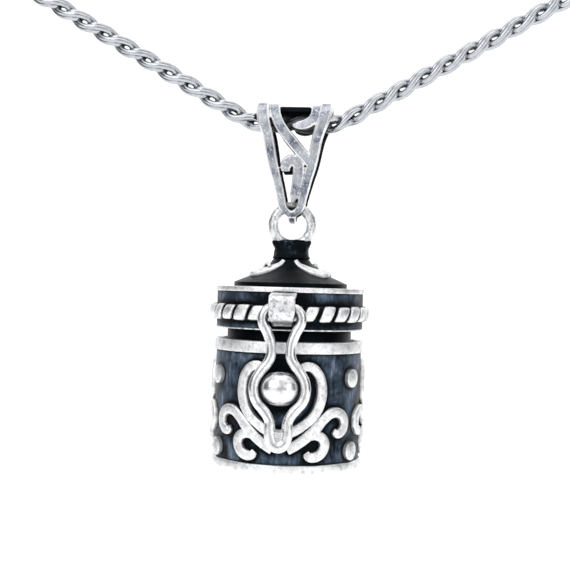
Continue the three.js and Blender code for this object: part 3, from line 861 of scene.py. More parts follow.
@dataclass
class Chain:
    """The wheat chain: twisted oval links, each run through the two before it.

    Attributes:
        route: The right half of the chain's line, in millimetres; the left half mirrors it.
        diameter: The chain's width; not used.
        pitch: The distance from one link to the next.
        reach: Half a link's length.
        waist: Half a link's width, to the middle of its wire.
        wire: The radius of a link's wire.
        twist: How far a link turns from end to end, in degrees.
        first_turn: How the first link is turned about the chain, in degrees.
        shadow_reach: How far from the middle the chain gets painted shade, where it lies inside the bail.
        shadow_fade: The width over which that painted shade ends.
    """

    route: list[Point2] = field(default_factory=lambda: [
        (0, 0), (1.3, 0), (2.6, 0.01), (3.7, 0.1), (5, 0.55), (6.85, 1.6), (8.6, 2.6),
        (12.4, 4.8), (16.5, 7.15), (20.3, 9.35), (24.5, 11.75), (28, 13.75),
    ])
    diameter: float = 1.6
    pitch: float = 1.22
    reach: float = 1.75
    waist: float = 0.62
    wire: float = 0.26
    twist: float = -150
    first_turn: float = 0
    shadow_reach: float = 3.6
    shadow_fade: float = 0.8

    def sheltered(self, point: Vector, _normal: Vector) -> float:
        """The painted shade at a point: 1 inside the bail, where the chain lies in shade, and 0 in the
        open.
        """
        return min(max((self.shadow_reach - abs(point.x / MM)) / self.shadow_fade, 0.0), 1.0)

    def line(self) -> list[Vector]:
        """The chain's centre line from its left end to its right one, in metres, finely divided."""
        right = [Vector((x, 0, z)) for x, z in self.route]
        left = [Vector((-p.x, 0, p.z)) for p in reversed(right[1:])]
        return [point * MM for point in flowing(left + right, 12)]

    def link(self, name: str) -> bpy.types.Object:
        """One link, its length along X, centred on the origin."""
        points = []
        count = 14
        for i in range(count):
            angle = 2 * math.pi * i / count
            along = self.reach * math.cos(angle)
            out = self.waist * math.copysign(abs(math.sin(angle)) ** 0.7, math.sin(angle))
            turn = math.radians(self.twist) * along / (2 * self.reach)
            points.append(Vector((along, out * math.cos(turn), out * math.sin(turn))) * MM)
        return wire_through(name, points, self.wire * MM, closed=True, sides=3, fineness=3)

    def build(self, finishes: Finishes) -> None:
        line = self.line()
        length = sum((b - a).length for a, b in zip(line, line[1:]))
        model = self.link("chain_link")
        links = []
        count = round(length / MM / self.pitch) + 1
        step = length / (count - 1)
        for i in range(count):
            centre, along = along_line(line, i * step)
            turn = Matrix.Rotation(math.radians(self.first_turn + 90 * i), 4, "X")
            aim = Vector((1, 0, 0)).rotation_difference(along).to_matrix().to_4x4()
            link = model.copy()
            link.data = model.data.copy()
            bpy.context.collection.objects.link(link)
            link.data.transform(Matrix.Translation(centre) @ aim @ turn)
            links.append(link)
        bpy.data.objects.remove(model)
        chain = Bench.smooth(Bench.join(links, "wheat_chain"), 180)
        # Marks the chain inside the bail for painted shade.
        Bench.mark(chain, "sheltered", self.sheltered)
        dress(chain, finishes.chain, Slot.CHAIN, "chain", ["chain_run"])
        loops = [self.loop(side, finishes) for side in ("left", "right")]
        tuple(line[0])
        [tuple(point) for point in line]

    def loop(self, side: str, finishes: Finishes) -> bpy.types.Object:
        """The soldered ring at one end of the chain."""
        node = f"chain_loop_{side}"
        span = Span.of(node)
        wire = (span.high.y - span.low.y) / 2
        Bench.clear()
        bpy.ops.mesh.primitive_torus_add(
            location=span.middle * MM, rotation=(math.pi / 2, 0, 0), major_segments=64, minor_segments=20,
            major_radius=(span.radius - wire) * MM, minor_radius=wire * MM,
        )
        ring = Bench.settle(bpy.context.object, f"end_ring_{side}")
        seam = Vector((span.middle.x, 0, span.high.z - wire)) * MM
        Bench.clear()
        bpy.ops.mesh.primitive_uv_sphere_add(
            segments=16, ring_count=10, radius=wire * 1.18 * MM, location=seam
        )
        solder = Bench.settle(bpy.context.object, "solder")
        ring = Bench.smooth(Bench.join([ring, solder], f"end_ring_{side}"), 180)
        return dress(ring, finishes.chain, Slot.CHAIN, "chain", [node])


# ------------------------------------------------------------------ bail


@dataclass
class Bail:
    """The openwork bail: flat strips bent over the chain and closed round the ring.

    Attributes:
        strap: How thick the strips are.
        spacing: From the middle of the crown's bend to the middle of the foot's.
        top_bore: The inner radius of the crown's bend.
        foot_bore: The inner radius of the foot's bend.
        highlit_rim: How wide the band along the outer side of the frame is that gets the painted highlight.
    """

    strap: float = 0.76
    spacing: float = 7.0
    top_bore: float = 1.75
    foot_bore: float = 0.95
    highlit_rim: float = 0.14

    def __post_init__(self) -> None:
        """Takes the loop's heights from the frame."""
        span = Span.of("bail_frame")
        self.top_z = span.high.z - self.strap - self.top_bore
        self.foot_z = self.top_z - self.spacing
        self.lean = math.asin((self.top_bore - self.foot_bore) / self.spacing)
        self.outer = self.top_bore + self.strap
        self.arch = (math.pi / 2 + self.lean) * self.outer
        self.side = self.spacing * math.cos(self.lean)

    def place(self, side: int) -> Placer:
        """A placer for the front of the loop (side -1) or its back (side 1).

        Its x is across, its y the length down from the crown along the outside, its z out from
        the bore.
        """

        def put(x: float, down: float, out: float) -> Vector:
            """Puts one point on the crown's bend, the straight side or the foot's bend."""
            out_top = self.top_bore + out
            out_foot = self.foot_bore + out
            if down < self.arch:
                angle = down / self.outer
                rise = self.top_z + out_top * math.cos(angle)
                return Vector((x, side * out_top * math.sin(angle), rise)) * MM
            normal = Vector((0, side * math.cos(self.lean), -math.sin(self.lean)))
            if down < self.arch + self.side:
                start = Vector((x, 0, self.top_z)) + normal * out_top
                slide = Vector((0, -side * math.sin(self.lean), -math.cos(self.lean))) * (down - self.arch)
                return (start + slide) * MM
            angle = self.lean + (down - self.arch - self.side) / (self.foot_bore + self.strap)
            turned = Vector((0, side * math.cos(angle), -math.sin(angle)))
            return (Vector((x, 0, self.foot_z)) + turned * out_foot) * MM

        return put

    def down(self, z: float) -> float:
        """The length down the outside from the crown to a height."""
        knee = self.top_z - self.outer * math.sin(self.lean)
        if z > knee:
            return self.outer * math.acos(min(1.0, (z - self.top_z) / self.outer))
        foot_outer = self.foot_bore + self.strap
        ankle = self.foot_z - foot_outer * math.sin(self.lean)
        if z > ankle:
            return self.arch + (knee - z) / math.cos(self.lean)
        angle = math.asin(min(1.0, (self.foot_z - z) / foot_outer))
        return self.arch + self.side + (angle - self.lean) * foot_outer

    def half_width(self, z: float) -> float:
        """Half the bail's outer width at a height."""
        outline = [
            (3.66, 2.5), (3.44, 0.42), (2.78, -1.63), (2.32, -3.93),
            (1.79, -5.73), (1.43, -7.1), (1.19, -8.1), (0.9, -8.7),
        ]
        for (wide, high), (narrow, low) in zip(outline, outline[1:]):
            if z > low:
                return narrow + (wide - narrow) * min((z - low) / (high - low), 1.0)
        return outline[-1][0]

    def drawn(self, points: list[Point2]) -> list[Point2]:
        """Turns points seen from the front, as x and height, into points on the strap."""
        return [(x, self.down(z)) for x, z in points]

    def strokes(self) -> list[Stroke]:
        """The strips of one face of the bail."""
        tall = self.strap
        right = [
            (2.86, 0.42), (2.28, -1.63), (1.84, -3.93), (1.36, -5.73),
            (1.03, -7.1), (0.8, -8.1), (0.42, -8.62),
        ]
        half = [(3.05, 0.0)] + self.drawn(right + [(0, -8.78)])
        frame_line = half + [(-x, down) for x, down in reversed(half[:-1])]
        sizes = [1.22, 1.16, 1.0, 0.95, 0.86, 0.8, 0.78, 0.78, 0.9]
        frame = Stroke(frame_line, 1.0, tall, sizes + sizes[-2::-1], Section.SOFT_STRAP)
        diagonal = Stroke(
            [(-1.95, 0.1)] + self.drawn([
                (-1.85, 1.35), (-1.66, 0.6), (-0.95, -0.85), (0.08, -2.1), (0.95, -3.1), (1.62, -3.85)]),
            1.02, tall * 0.96, [1.1, 1.05, 1.02, 1.0, 1.0, 1.0, 0.9], Section.SOFT_STRAP,
        )
        scroll = Stroke(
            [(1.9, 0.15)] + self.drawn([
                (2.12, 1.3), (1.98, 0.5), (1.42, -0.12), (0.72, -0.36), (0.2, -0.22), (0.08, -0.05)]),
            1.0, tall * 0.93, [1.0, 1.05, 1.05, 1.05, 0.98, 0.8, 0.4], Section.SOFT_STRAP,
        )
        hook = Stroke(
            self.drawn([
                (-0.6, -4.72), (-0.62, -4.25), (-0.4, -3.82), (0.05, -3.68), (0.48, -3.98),
                (0.6, -4.7), (0.48, -5.8), (0.24, -6.9), (0.02, -7.7)]),
            1.04, tall * 0.9, [0.78, 0.98, 1.0, 1.0, 1.0, 1.04, 1.0, 0.8, 0.22], Section.SOFT_STRAP,
        )
        return [frame, diagonal, scroll, hook]

    def build(self, finishes: Finishes) -> None:
        """Casts both faces, the crown and the web under the ring, and melts them together."""
        parts = []
        for side, face in ((-1, "front"), (1, "back")):
            for number, stroke in enumerate(self.strokes()):
                flat = stroke.bend(f"bail_{face}_{number}")
                Bench.modify(flat, "SUBSURF", subdivision_type="SIMPLE", levels=1, render_levels=1)
                parts.append(lay_on(flat, self.place(side)))
            web_top = self.arch + self.side
            web_foot = web_top + (math.pi / 2 - self.lean) * (self.foot_bore + self.strap)
            line = [(0, web_top + 1.2), (0, web_foot - 0.1)]
            web = Stroke(line, 0.8, self.strap, section=Section.SOFT_STRAP)
            parts.append(lay_on(web.bend(f"bail_{face}_web"), self.place(side)))
        for name, points, width, share in (
            ("crown_edge", [(-3.2, -0.05), (0, -0.05), (3.2, -0.05)], 1.5, 1.08),
            ("crown_back", [(-2.2, 1.9), (0, 1.9), (2.2, 1.9)], 2.6, 0.9),
        ):
            strip = Stroke(points, width, self.strap * share, section=Section.SOFT_STRAP, fineness=6)
            flat = strip.bend(f"bail_{name}")
            Bench.modify(flat, "SUBSURF", subdivision_type="SIMPLE", levels=3, render_levels=3)
            parts.append(lay_on(flat, self.over_crown))
        bail = Bench.fuse(Bench.join(parts, "openwork_bail"), 0.064 * MM, 3)
        Bench.mark(bail, "proud", self.proud)
        Bench.hand_work(bail, 0.04 * MM, 0.9 * MM)
        Bench.smooth(bail, 180)
        nodes = ["bail_frame", "bail_hook_front", "bail_hook_back"]
        dress(bail, finishes.openwork, Slot.POLISHED, "bail", nodes)

    def proud(self, point: Vector, normal: Vector) -> float:
        """How far the surface at a point faces out of the loop: 1 outwards, 0 along it and -1 inwards.

        The outer sides of the frame count as nearly outward, so that they get the same painted highlight as
        the rims of its face.
        """
        y, z = point.y / MM, point.z / MM - self.top_z
        along = -abs(y) * math.sin(self.lean) - z * math.cos(self.lean)
        if along < 0:
            outward = Vector((0, y, z))
        elif along < self.side:
            outward = Vector((0, math.copysign(math.cos(self.lean), y), -math.sin(self.lean)))
        else:
            outward = Vector((0, y, z + self.spacing))
        facing = normal.dot(outward.normalized())
        # Painted highlight: the outer sides of the frame get a value that the finish colours bright.
        if abs(point.x / MM) > self.half_width(point.z / MM) - self.highlit_rim and facing > -0.3:
            return max(facing, 0.75)
        return facing

    def over_crown(self, x: float, down: float, out: float) -> Vector:
        """A placer for a strip that crosses the crown."""
        return self.place(1 if down > 0 else -1)(x, abs(down), out)


# ------------------------------------------------------------------ ring, neck and dome


@dataclass
class Crown:
    """The ring, the neck under it and the flared dome with its curled leaves.

    Attributes:
        leaf_width: How wide a leaf lies on the dome.
        leaf_height: How far it stands up from it.
        ring_wire: The radius of the ring's wire.
        hollow: The radius of the neck's hollow under the ring's hole.
        flattening: The share of its depth that the neck loses at its top.
        foot: The radius of the neck where it meets the dome.
        edge: The height of the dome's upright edge.
    """

    leaf_width: float = 0.98
    leaf_height: float = 0.42
    ring_wire: float = 0.475
    hollow: float = 1.36
    flattening: float = 0.62
    foot: float = 1.7
    edge: float = 0.4

    def __post_init__(self) -> None:
        """Takes the sizes from the frame."""
        self.ring = Span.of("top_ring")
        self.neck = Span.of("neck")
        self.dome = Span.of("dome")

    def flare(self) -> list[Vector]:
        """The dome's outline from the neck to its edge, as radius and height, finely divided."""
        top, low, wide = self.dome.high.z, self.dome.low.z + self.edge, self.dome.radius
        knots = [(self.foot, top), (self.foot + 0.5, top - 0.62), (self.foot + 1.5, top - 1.3), (wide, low)]
        return flowing([Vector(knot) for knot in knots], 8)

    def on_flare(self, turn: float) -> Placer:
        """A placer on the dome: x across, y down from the neck, z off the surface."""
        outline = self.flare()

        def put(x: float, down: float, out: float) -> Vector:
            """Puts one point on the flare."""
            at, along = along_line(outline, max(down, 0.0))
            normal = Vector((-along.y, along.x))
            spot = at + normal * (out - 0.02)
            angle = turn + x / max(at.x, 1.2)
            return Vector((spot.x * math.sin(angle), -spot.x * math.cos(angle), spot.y)) * MM

        return put

    def leaf(self, name: str, turn: float, side: int) -> bpy.types.Object:
        """Bends one leaf, which sweeps aside down the flare and widens; a left one has a curl on its back.

        Args:
            name: The name of the piece.
            turn: Where on the dome it starts, as an angle round the axis.
            side: 1 for a leaf to the right, -1 for one to the left.

        Returns:
            The leaf, lying on the dome.
        """
        points = [(0.55, 0.2), (0.8, 0.6), (1.55, 1.25), (2.7, 2.05), (3.85, 2.47), (4.72, 2.45)]
        sizes = [0.36, 0.42, 0.62, 0.88, 1.15, 0.9]
        line = [(side * x, y) for x, y in points]
        strokes = [Stroke(line, self.leaf_width, self.leaf_height, sizes)]
        if side < 0:
            curl = [(-1.9, 1.5), (-2.0, 1.1), (-2.45, 0.86), (-2.95, 1.05), (-2.85, 1.42)]
            curl_sizes = [0.9, 1.0, 1.0, 0.95, 0.7]
            strokes.append(Stroke(curl, self.leaf_width * 0.5, self.leaf_height, curl_sizes))
        parts = [stroke.bend(f"{name}_{i}") for i, stroke in enumerate(strokes)]
        for other in parts[1:]:
            Bench.modify(parts[0], "BOOLEAN", object=other, operation="UNION", solver="EXACT")
            bpy.data.objects.remove(other)
        leaf = Bench.settle(parts[0], name)
        return lay_on(leaf, self.on_flare(turn))

    def top_ring(self) -> bpy.types.Object:
        """The cast ring, its wire stretched to the frame's depth and its surface made slightly uneven."""
        wire = self.ring_wire
        reach = self.ring.radius - wire
        Bench.clear()
        bpy.ops.mesh.primitive_torus_add(
            location=(0, 0, (self.ring.high.z - wire - reach) * MM), rotation=(math.pi / 2, 0, 0),
            major_segments=96, minor_segments=28, major_radius=reach * MM, minor_radius=wire * MM,
        )
        ring = Bench.take(bpy.context.object)
        ring.scale.z = (self.ring.high.y - self.ring.low.y) / (2 * wire)
        ring = Bench.settle(ring, "lid_ring")
        Bench.hand_work(ring, 0.1 * MM, 0.8 * MM)
        return Bench.smooth(ring, 180)

    def solder_neck(self) -> bpy.types.Object:
        """The neck: a waisted lump flattened against the ring, hollowed under the ring's hole."""
        top, low = self.neck.high.z + 0.55, self.neck.low.z
        neck = Bench.turned("solder_neck", [
            (0, low), (self.foot + 0.25, low), (self.foot + 0.02, low + 0.2),
            (1.62, low + 0.65), (1.6, low + 1.0), (1.72, top - 0.75),
            (1.9, top - 0.3), (1.85, top), (0, top),
        ], 72)
        Bench.modify(neck, "SUBSURF", levels=2, render_levels=2)
        for vertex in neck.data.vertices:
            share = min(max(0.0, (vertex.co.z / MM - low - 0.4) / 1.3), 1.0)
            vertex.co.y *= 1 - self.flattening * share
        centre = self.ring.high.z - self.ring.radius
        ends = [Vector((0, y, centre)) * MM for y in (-3, 3)]
        hole = Bench.bar("hole", self.hollow * MM, *ends)
        Bench.modify(neck, "BOOLEAN", object=hole, operation="DIFFERENCE", solver="EXACT")
        bpy.data.objects.remove(hole)
        Bench.fuse(neck, 0.06 * MM, 3)
        Bench.hand_work(neck, 0.14 * MM, 0.7 * MM)
        return Bench.smooth(neck, 180)

    def build(self, finishes: Finishes) -> None:
        """Builds the ring, neck, dome and leaves."""
        dress(self.top_ring(), finishes.worn, Slot.POLISHED, "lid", ["top_ring"])
        dress(self.solder_neck(), finishes.sooty, Slot.BLACKENED, "lid", ["neck"])
        outline = [(p.x, p.y) for p in self.flare()]
        bottom = self.dome.low.z
        dome = Bench.turned("flared_dome", [(0, self.dome.high.z), *outline,
                                            (outline[-1][0], bottom), (0, bottom)], 144)
        dress(Bench.smooth(dome, 35), finishes.sooty, Slot.BLACKENED, "lid", ["dome"])
        for number, turn in ((1, 0.0), (2, math.pi)):
            for side, word in ((1, "right"), (-1, "left")):
                leaf = Bench.smooth(self.leaf(f"{word}_leaf_{number}", turn, side), 60)
                node = f"dome_leaf_{word}_{number}"
                dress(leaf, finishes.satin, Slot.POLISHED, "lid", [node])


# ------------------------------------------------------------------ lid


@dataclass
class Lid:
    """The lid's plate and wall, its lower lip and the rope of slanted beads round it.

    Attributes:
        wall_thickness: The thickness of the wall.
        lip: The radius of the bright lip at the wall's foot.
        pads: The number of beads in the rope.
        pad_width: The width of a bead before it is slanted.
        pad_height: How thick a bead is.
        slant: How far a bead leans, as a share of its height.
    """

    wall_thickness: float = 0.75
    lip: float = 0.08
    pads: int = 28
    pad_width: float = 1.24
    pad_height: float = 0.56
    slant: float = 0.42

    def plate(self, finishes: Finishes) -> None:
        """The top plate, its edge rounded by polishing."""
        span = Span.of("lid_plate")
        low, high, wide = span.low.z, span.high.z, span.radius
        plate = Bench.turned("lid_top_plate", [(0, low), (wide, low), (wide, high), (0, high)])
        Bench.modify(plate, "BEVEL", width=0.1 * MM, segments=3, limit_method="ANGLE")
        dress(Bench.smooth(plate, 35), finishes.satin, Slot.POLISHED, "lid", ["lid_plate"])

    def wall(self, finishes: Finishes) -> None:
        """The blackened wall and the bright lip at its foot."""
        span = Span.of("lid_wall")
        low, high, wide = span.low.z, span.high.z, span.radius
        bore = wide - self.wall_thickness
        wall = Bench.turned("lid_shell", [
            (bore, low), (wide - 0.12, low), (wide, low + 0.12), (wide, high), (bore, high), (bore, low),
        ])
        dress(Bench.smooth(wall, 35), finishes.blackened, Slot.BLACKENED, "lid", ["lid_wall"])
        Bench.clear()
        bpy.ops.mesh.primitive_torus_add(
            location=(0, 0, (low + self.lip) * MM), major_segments=144, minor_segments=14,
            major_radius=(wide - self.lip * 0.55) * MM, minor_radius=self.lip * MM,
        )
        lip = Bench.settle(bpy.context.object, "lid_lip")
        dress(Bench.smooth(lip, 180), finishes.worn, Slot.POLISHED, "lid")

    def pad(self, tall: float) -> bpy.types.Object:
        """One bead of the rope: a cushion, as wide as it shows between two grooves."""
        Bench.clear()
        bpy.ops.mesh.primitive_cube_add(size=1)
        pad = bpy.context.object
        pad.scale = (self.pad_width, tall, self.pad_height)
        pad = Bench.settle(pad, "rope_pad")
        Bench.modify(pad, "BEVEL", width=0.2, segments=2, limit_method="ANGLE", angle_limit=0.5)
        Bench.modify(pad, "SUBSURF", levels=1, render_levels=1)
        return pad

    def rope(self, finishes: Finishes) -> None:
        """A blackened hoop with slanted beads all round, like a rope laid flat."""
        span = Span.of("rope_band")
        low, high, middle = span.low.z, span.high.z, span.middle.z
        inner, ring = span.radius - 0.62, span.radius - 0.36
        hoop = Bench.turned("rope_hoop", [(inner, low + 0.12), (ring, low + 0.12), (ring + 0.06, middle),
                                          (ring, high - 0.12), (inner, high - 0.12), (inner, low + 0.12)])
        dress(Bench.smooth(hoop, 35), finishes.blackened, Slot.BLACKENED, "lid")
        model = self.pad((high - low) * 0.92)
        pads = []
        for number in range(self.pads):
            turn = 2 * math.pi * (number + 0.5) / self.pads
            wide = 1 + 0.07 * math.sin(5.1 * number)
            tall = 1 + 0.04 * math.sin(3.3 * number + 1)

            def round_lid(x: float, y: float, out: float) -> Vector:
                """Puts one point of a bead on the hoop, its ends bent in."""
                arch = 0.24 * (2 * y / (high - low)) ** 2
                radius = min(span.radius - 0.23 + out - arch, span.radius)
                angle = turn + (x * wide + y * self.slant) / ring
                rise = middle + y * tall * 0.96
                return Vector((radius * math.sin(angle), -radius * math.cos(angle), rise)) * MM

            pad = model.copy()
            pad.data = model.data.copy()
            bpy.context.collection.objects.link(pad)
            pads.append(lay_on(pad, round_lid))
        bpy.data.objects.remove(model)
        rope = Bench.smooth(Bench.join(pads, "rope_beads"), 60)
        dress(rope, finishes.satin, Slot.POLISHED, "lid", ["rope_band"])

    def build(self, finishes: Finishes) -> None:
        """Builds the lid."""
        self.plate(finishes)
        self.wall(finishes)
        self.rope(finishes)


# ------------------------------------------------------------------ cup


@dataclass
class Cup:
    """The cup: its blackened wall between two polished bands, and the collar inside.

    Attributes:
        wall_thickness: The thickness of the wall.
        edge: The rounding of the bands' edges.
        guide: The outer radius of the collar's upper part, which the lid slips over.
        guide_wall: The thickness of the collar.
    """

    wall_thickness: float = 0.74
    edge: float = 0.14
    guide: float = 5.85
    guide_wall: float = 0.4

    @staticmethod
    def hoop(name: str, bore: float, span: Span) -> bpy.types.Object:
        """A plain hoop that fills a node's box from a bore outwards."""
        low, high, wide = span.low.z, span.high.z, span.radius
        return Bench.turned(name, [(bore, low), (wide, low), (wide, high), (bore, high), (bore, low)])

    def build(self, finishes: Finishes) -> None:
        """Builds the wall, bands, base and collar."""
        wall = Span.of("cup_wall")
        bore = wall.radius - self.wall_thickness
        shell = self.hoop("cup_shell", bore, wall)
        dress(Bench.smooth(shell, 35), finishes.blackened, Slot.BLACKENED, "cup", ["cup_wall"])

        band = Span.of("cup_band")
        top = self.hoop("cup_top_band", bore, band)
        Bench.modify(top, "BEVEL", width=self.edge * MM, segments=4, limit_method="ANGLE")
        dress(Bench.smooth(top, 35), finishes.satin, Slot.POLISHED, "cup", ["cup_band"])

        base = Span.of("cup_base")
        foot = Bench.turned("cup_base_disc", [
            (0, base.low.z), (base.radius, base.low.z), (base.radius, base.high.z), (0, base.high.z),
        ])
        Bench.modify(foot, "BEVEL", width=self.edge * 1.4 * MM, segments=4, limit_method="ANGLE")
        dress(Bench.smooth(foot, 35), finishes.satin, Slot.POLISHED, "cup", ["cup_base"])

        collar = Span.of("collar")
        seat, inner = collar.radius, self.guide - self.guide_wall
        ledge = band.high.z - 0.05
        guide = Bench.turned("inner_collar", [
            (inner, collar.low.z), (seat, collar.low.z), (seat, ledge), (self.guide, ledge),
            (self.guide, collar.high.z), (inner, collar.high.z), (inner, collar.low.z),
        ])
        Bench.modify(guide, "BEVEL", width=0.06 * MM, segments=2, limit_method="ANGLE")
        dress(Bench.smooth(guide, 35), finishes.sooty, Slot.BLACKENED, "cup", ["collar"])


# ------------------------------------------------------------------ ornament on the cup


@dataclass
class WallOrnament:
    """Flat wires and dots soldered to the cup's wall, three motifs with dots between them.

    Attributes:
        count: How many motifs go round the cup.
        width: How wide the wires lie on the wall.
        height: How far they stand out of it.
    """

    count: int = 3
    width: float = 0.92
    height: float = 0.42

    def __post_init__(self) -> None:
        """Takes the wall's place from the frame."""
        wall = Span.of("cup_wall")
        self.radius = wall.radius
        self.foot = wall.low.z

    def on_wall(self, turn: float) -> Placer:
        """A placer on the cup: x round to the right, y up from the wall's foot, z out of the wall."""

        def put(x: float, y: float, out: float) -> Vector:
            """Puts one point on the wall."""
            angle = turn + x / self.radius
            reach = self.radius + out - 0.01
            return Vector((reach * math.sin(angle), -reach * math.cos(angle), self.foot + y)) * MM

        return put

    def shaped(self, strokes: list[Stroke], name: str, turn: float) -> bpy.types.Object:
        """Bends strokes, joins them and lays them on the wall as one piece.

        Args:
            strokes: The wires, drawn flat.
            name: The name of the piece.
            turn: Where the motif's middle is, as an angle round the axis.

        Returns:
            The piece.
        """
        parts = [stroke.bend(f"{name}_{i}") for i, stroke in enumerate(strokes)]
        piece = parts[0]
        for other in parts[1:]:
            Bench.modify(piece, "BOOLEAN", object=other, operation="UNION", solver="EXACT")
            bpy.data.objects.remove(other)
        piece = Bench.settle(piece, name)
        lay_on(piece, self.on_wall(turn))
        return Bench.smooth(piece, 50)

    def tulip(self) -> list[Stroke]:
        """The tulip: a U of wire whose ends turn in at the top."""
        right = [
            (0, 2.75), (1.1, 3.05), (2.0, 3.6), (2.95, 4.5), (3.52, 5.8),
            (3.6, 7.0), (3.25, 8.15), (2.5, 8.78), (1.8, 8.7), (1.45, 8.3),
        ]
        sizes = [1.05, 1.0, 0.95, 1.0, 1.05, 1.0, 0.95, 0.95, 0.85, 0.5]
        left = [(-x, y) for x, y in reversed(right[1:])]
        return [Stroke(left + right, self.width, self.height, sizes[:0:-1] + sizes)]

    def scroll(self, side: int) -> list[Stroke]:
        """The scroll on one side: a stem with a hook at its end and another below it."""
        stem = [
            (0.62, 1.4), (1.3, 1.78), (2.3, 2.55), (3.1, 3.3), (3.85, 4.1), (4.75, 4.65),
            (5.7, 4.5), (6.2, 3.8), (5.95, 3.0), (5.35, 2.78), (5.0, 3.02),
        ]
        stem_sizes = [1.0, 1.0, 1.05, 1.1, 1.0, 1.0, 1.0, 1.0, 0.95, 0.95, 0.55]
        branch = [
            (2.4, 2.5), (3.3, 2.65), (3.95, 2.15), (3.85, 1.3), (3.2, 0.78), (2.55, 0.82), (2.3, 1.15),
        ]
        branch_sizes = [0.7, 0.95, 1.0, 1.0, 1.0, 0.95, 0.6]
        return [
            Stroke([(side * x, y) for x, y in stem], self.width, self.height, stem_sizes),
            Stroke([(side * x, y) for x, y in branch], self.width, self.height * 0.97, branch_sizes),
        ]

    def dot(self, name: str, node: str) -> bpy.types.Object:
        """Makes a round stud: a short cylinder with its outer edge drawn in to a soft dome.

        Args:
            name: The name of the piece.
            node: The node whose place and size it takes.

        Returns:
            The stud, lying on the wall.
        """
        span = Span.of(node)
        centre = span.middle
        angle = math.atan2(centre.x, -centre.y)
        radius = (span.high.z - span.low.z) / 2
        Bench.clear()
        bpy.ops.mesh.primitive_cylinder_add(
            vertices=32, radius=radius, depth=self.height, end_fill_type="NGON"
        )
        stud = bpy.context.object
        Bench.take(stud)
        bpy.ops.object.mode_set(mode="EDIT")
        bpy.ops.mesh.select_all(action="DESELECT")
        bpy.ops.object.mode_set(mode="OBJECT")
        for face in stud.data.polygons:
            face.select = face.normal.z > 0.9
        bpy.ops.object.mode_set(mode="EDIT")
        for inset, rise in ((0.07, 0.05), (0.12, 0.05), (0.2, 0.04), (0.2, 0.02)):
            bpy.ops.mesh.inset(thickness=radius * inset * 1.6)
            bpy.ops.transform.translate(value=(0, 0, rise))
        bpy.ops.object.mode_set(mode="OBJECT")
        stud = Bench.settle(stud, name)
        height = centre.z - self.foot
        put = self.on_wall(angle)
        lay_on(stud, lambda x, y, out: put(x, height + y, out * 0.8 + self.height * 0.45))
        return Bench.smooth(stud, 50)

    def build(self, finishes: Finishes) -> None:
        """Builds every motif and the dots."""
        for number in range(1, self.count + 1):
            turn = (number - 1) * 2 * math.pi / self.count
            pieces = [
                (self.shaped(self.tulip(), f"tulip_loop_{number}", turn), f"tulip_{number}"),
                (self.shaped(self.scroll(1), f"right_scroll_{number}", turn), f"scroll_right_{number}"),
                (self.shaped(self.scroll(-1), f"left_scroll_{number}", turn), f"scroll_left_{number}"),
                (self.dot(f"upper_dot_{number}", f"dot_upper_{number}"), f"dot_upper_{number}"),
                (self.dot(f"lower_dot_{number}", f"dot_lower_{number}"), f"dot_lower_{number}"),
            ]
            for piece, node in pieces:
                dress(piece, finishes.satin, Slot.POLISHED, "cup", [node])


# ------------------------------------------------------------------ latch


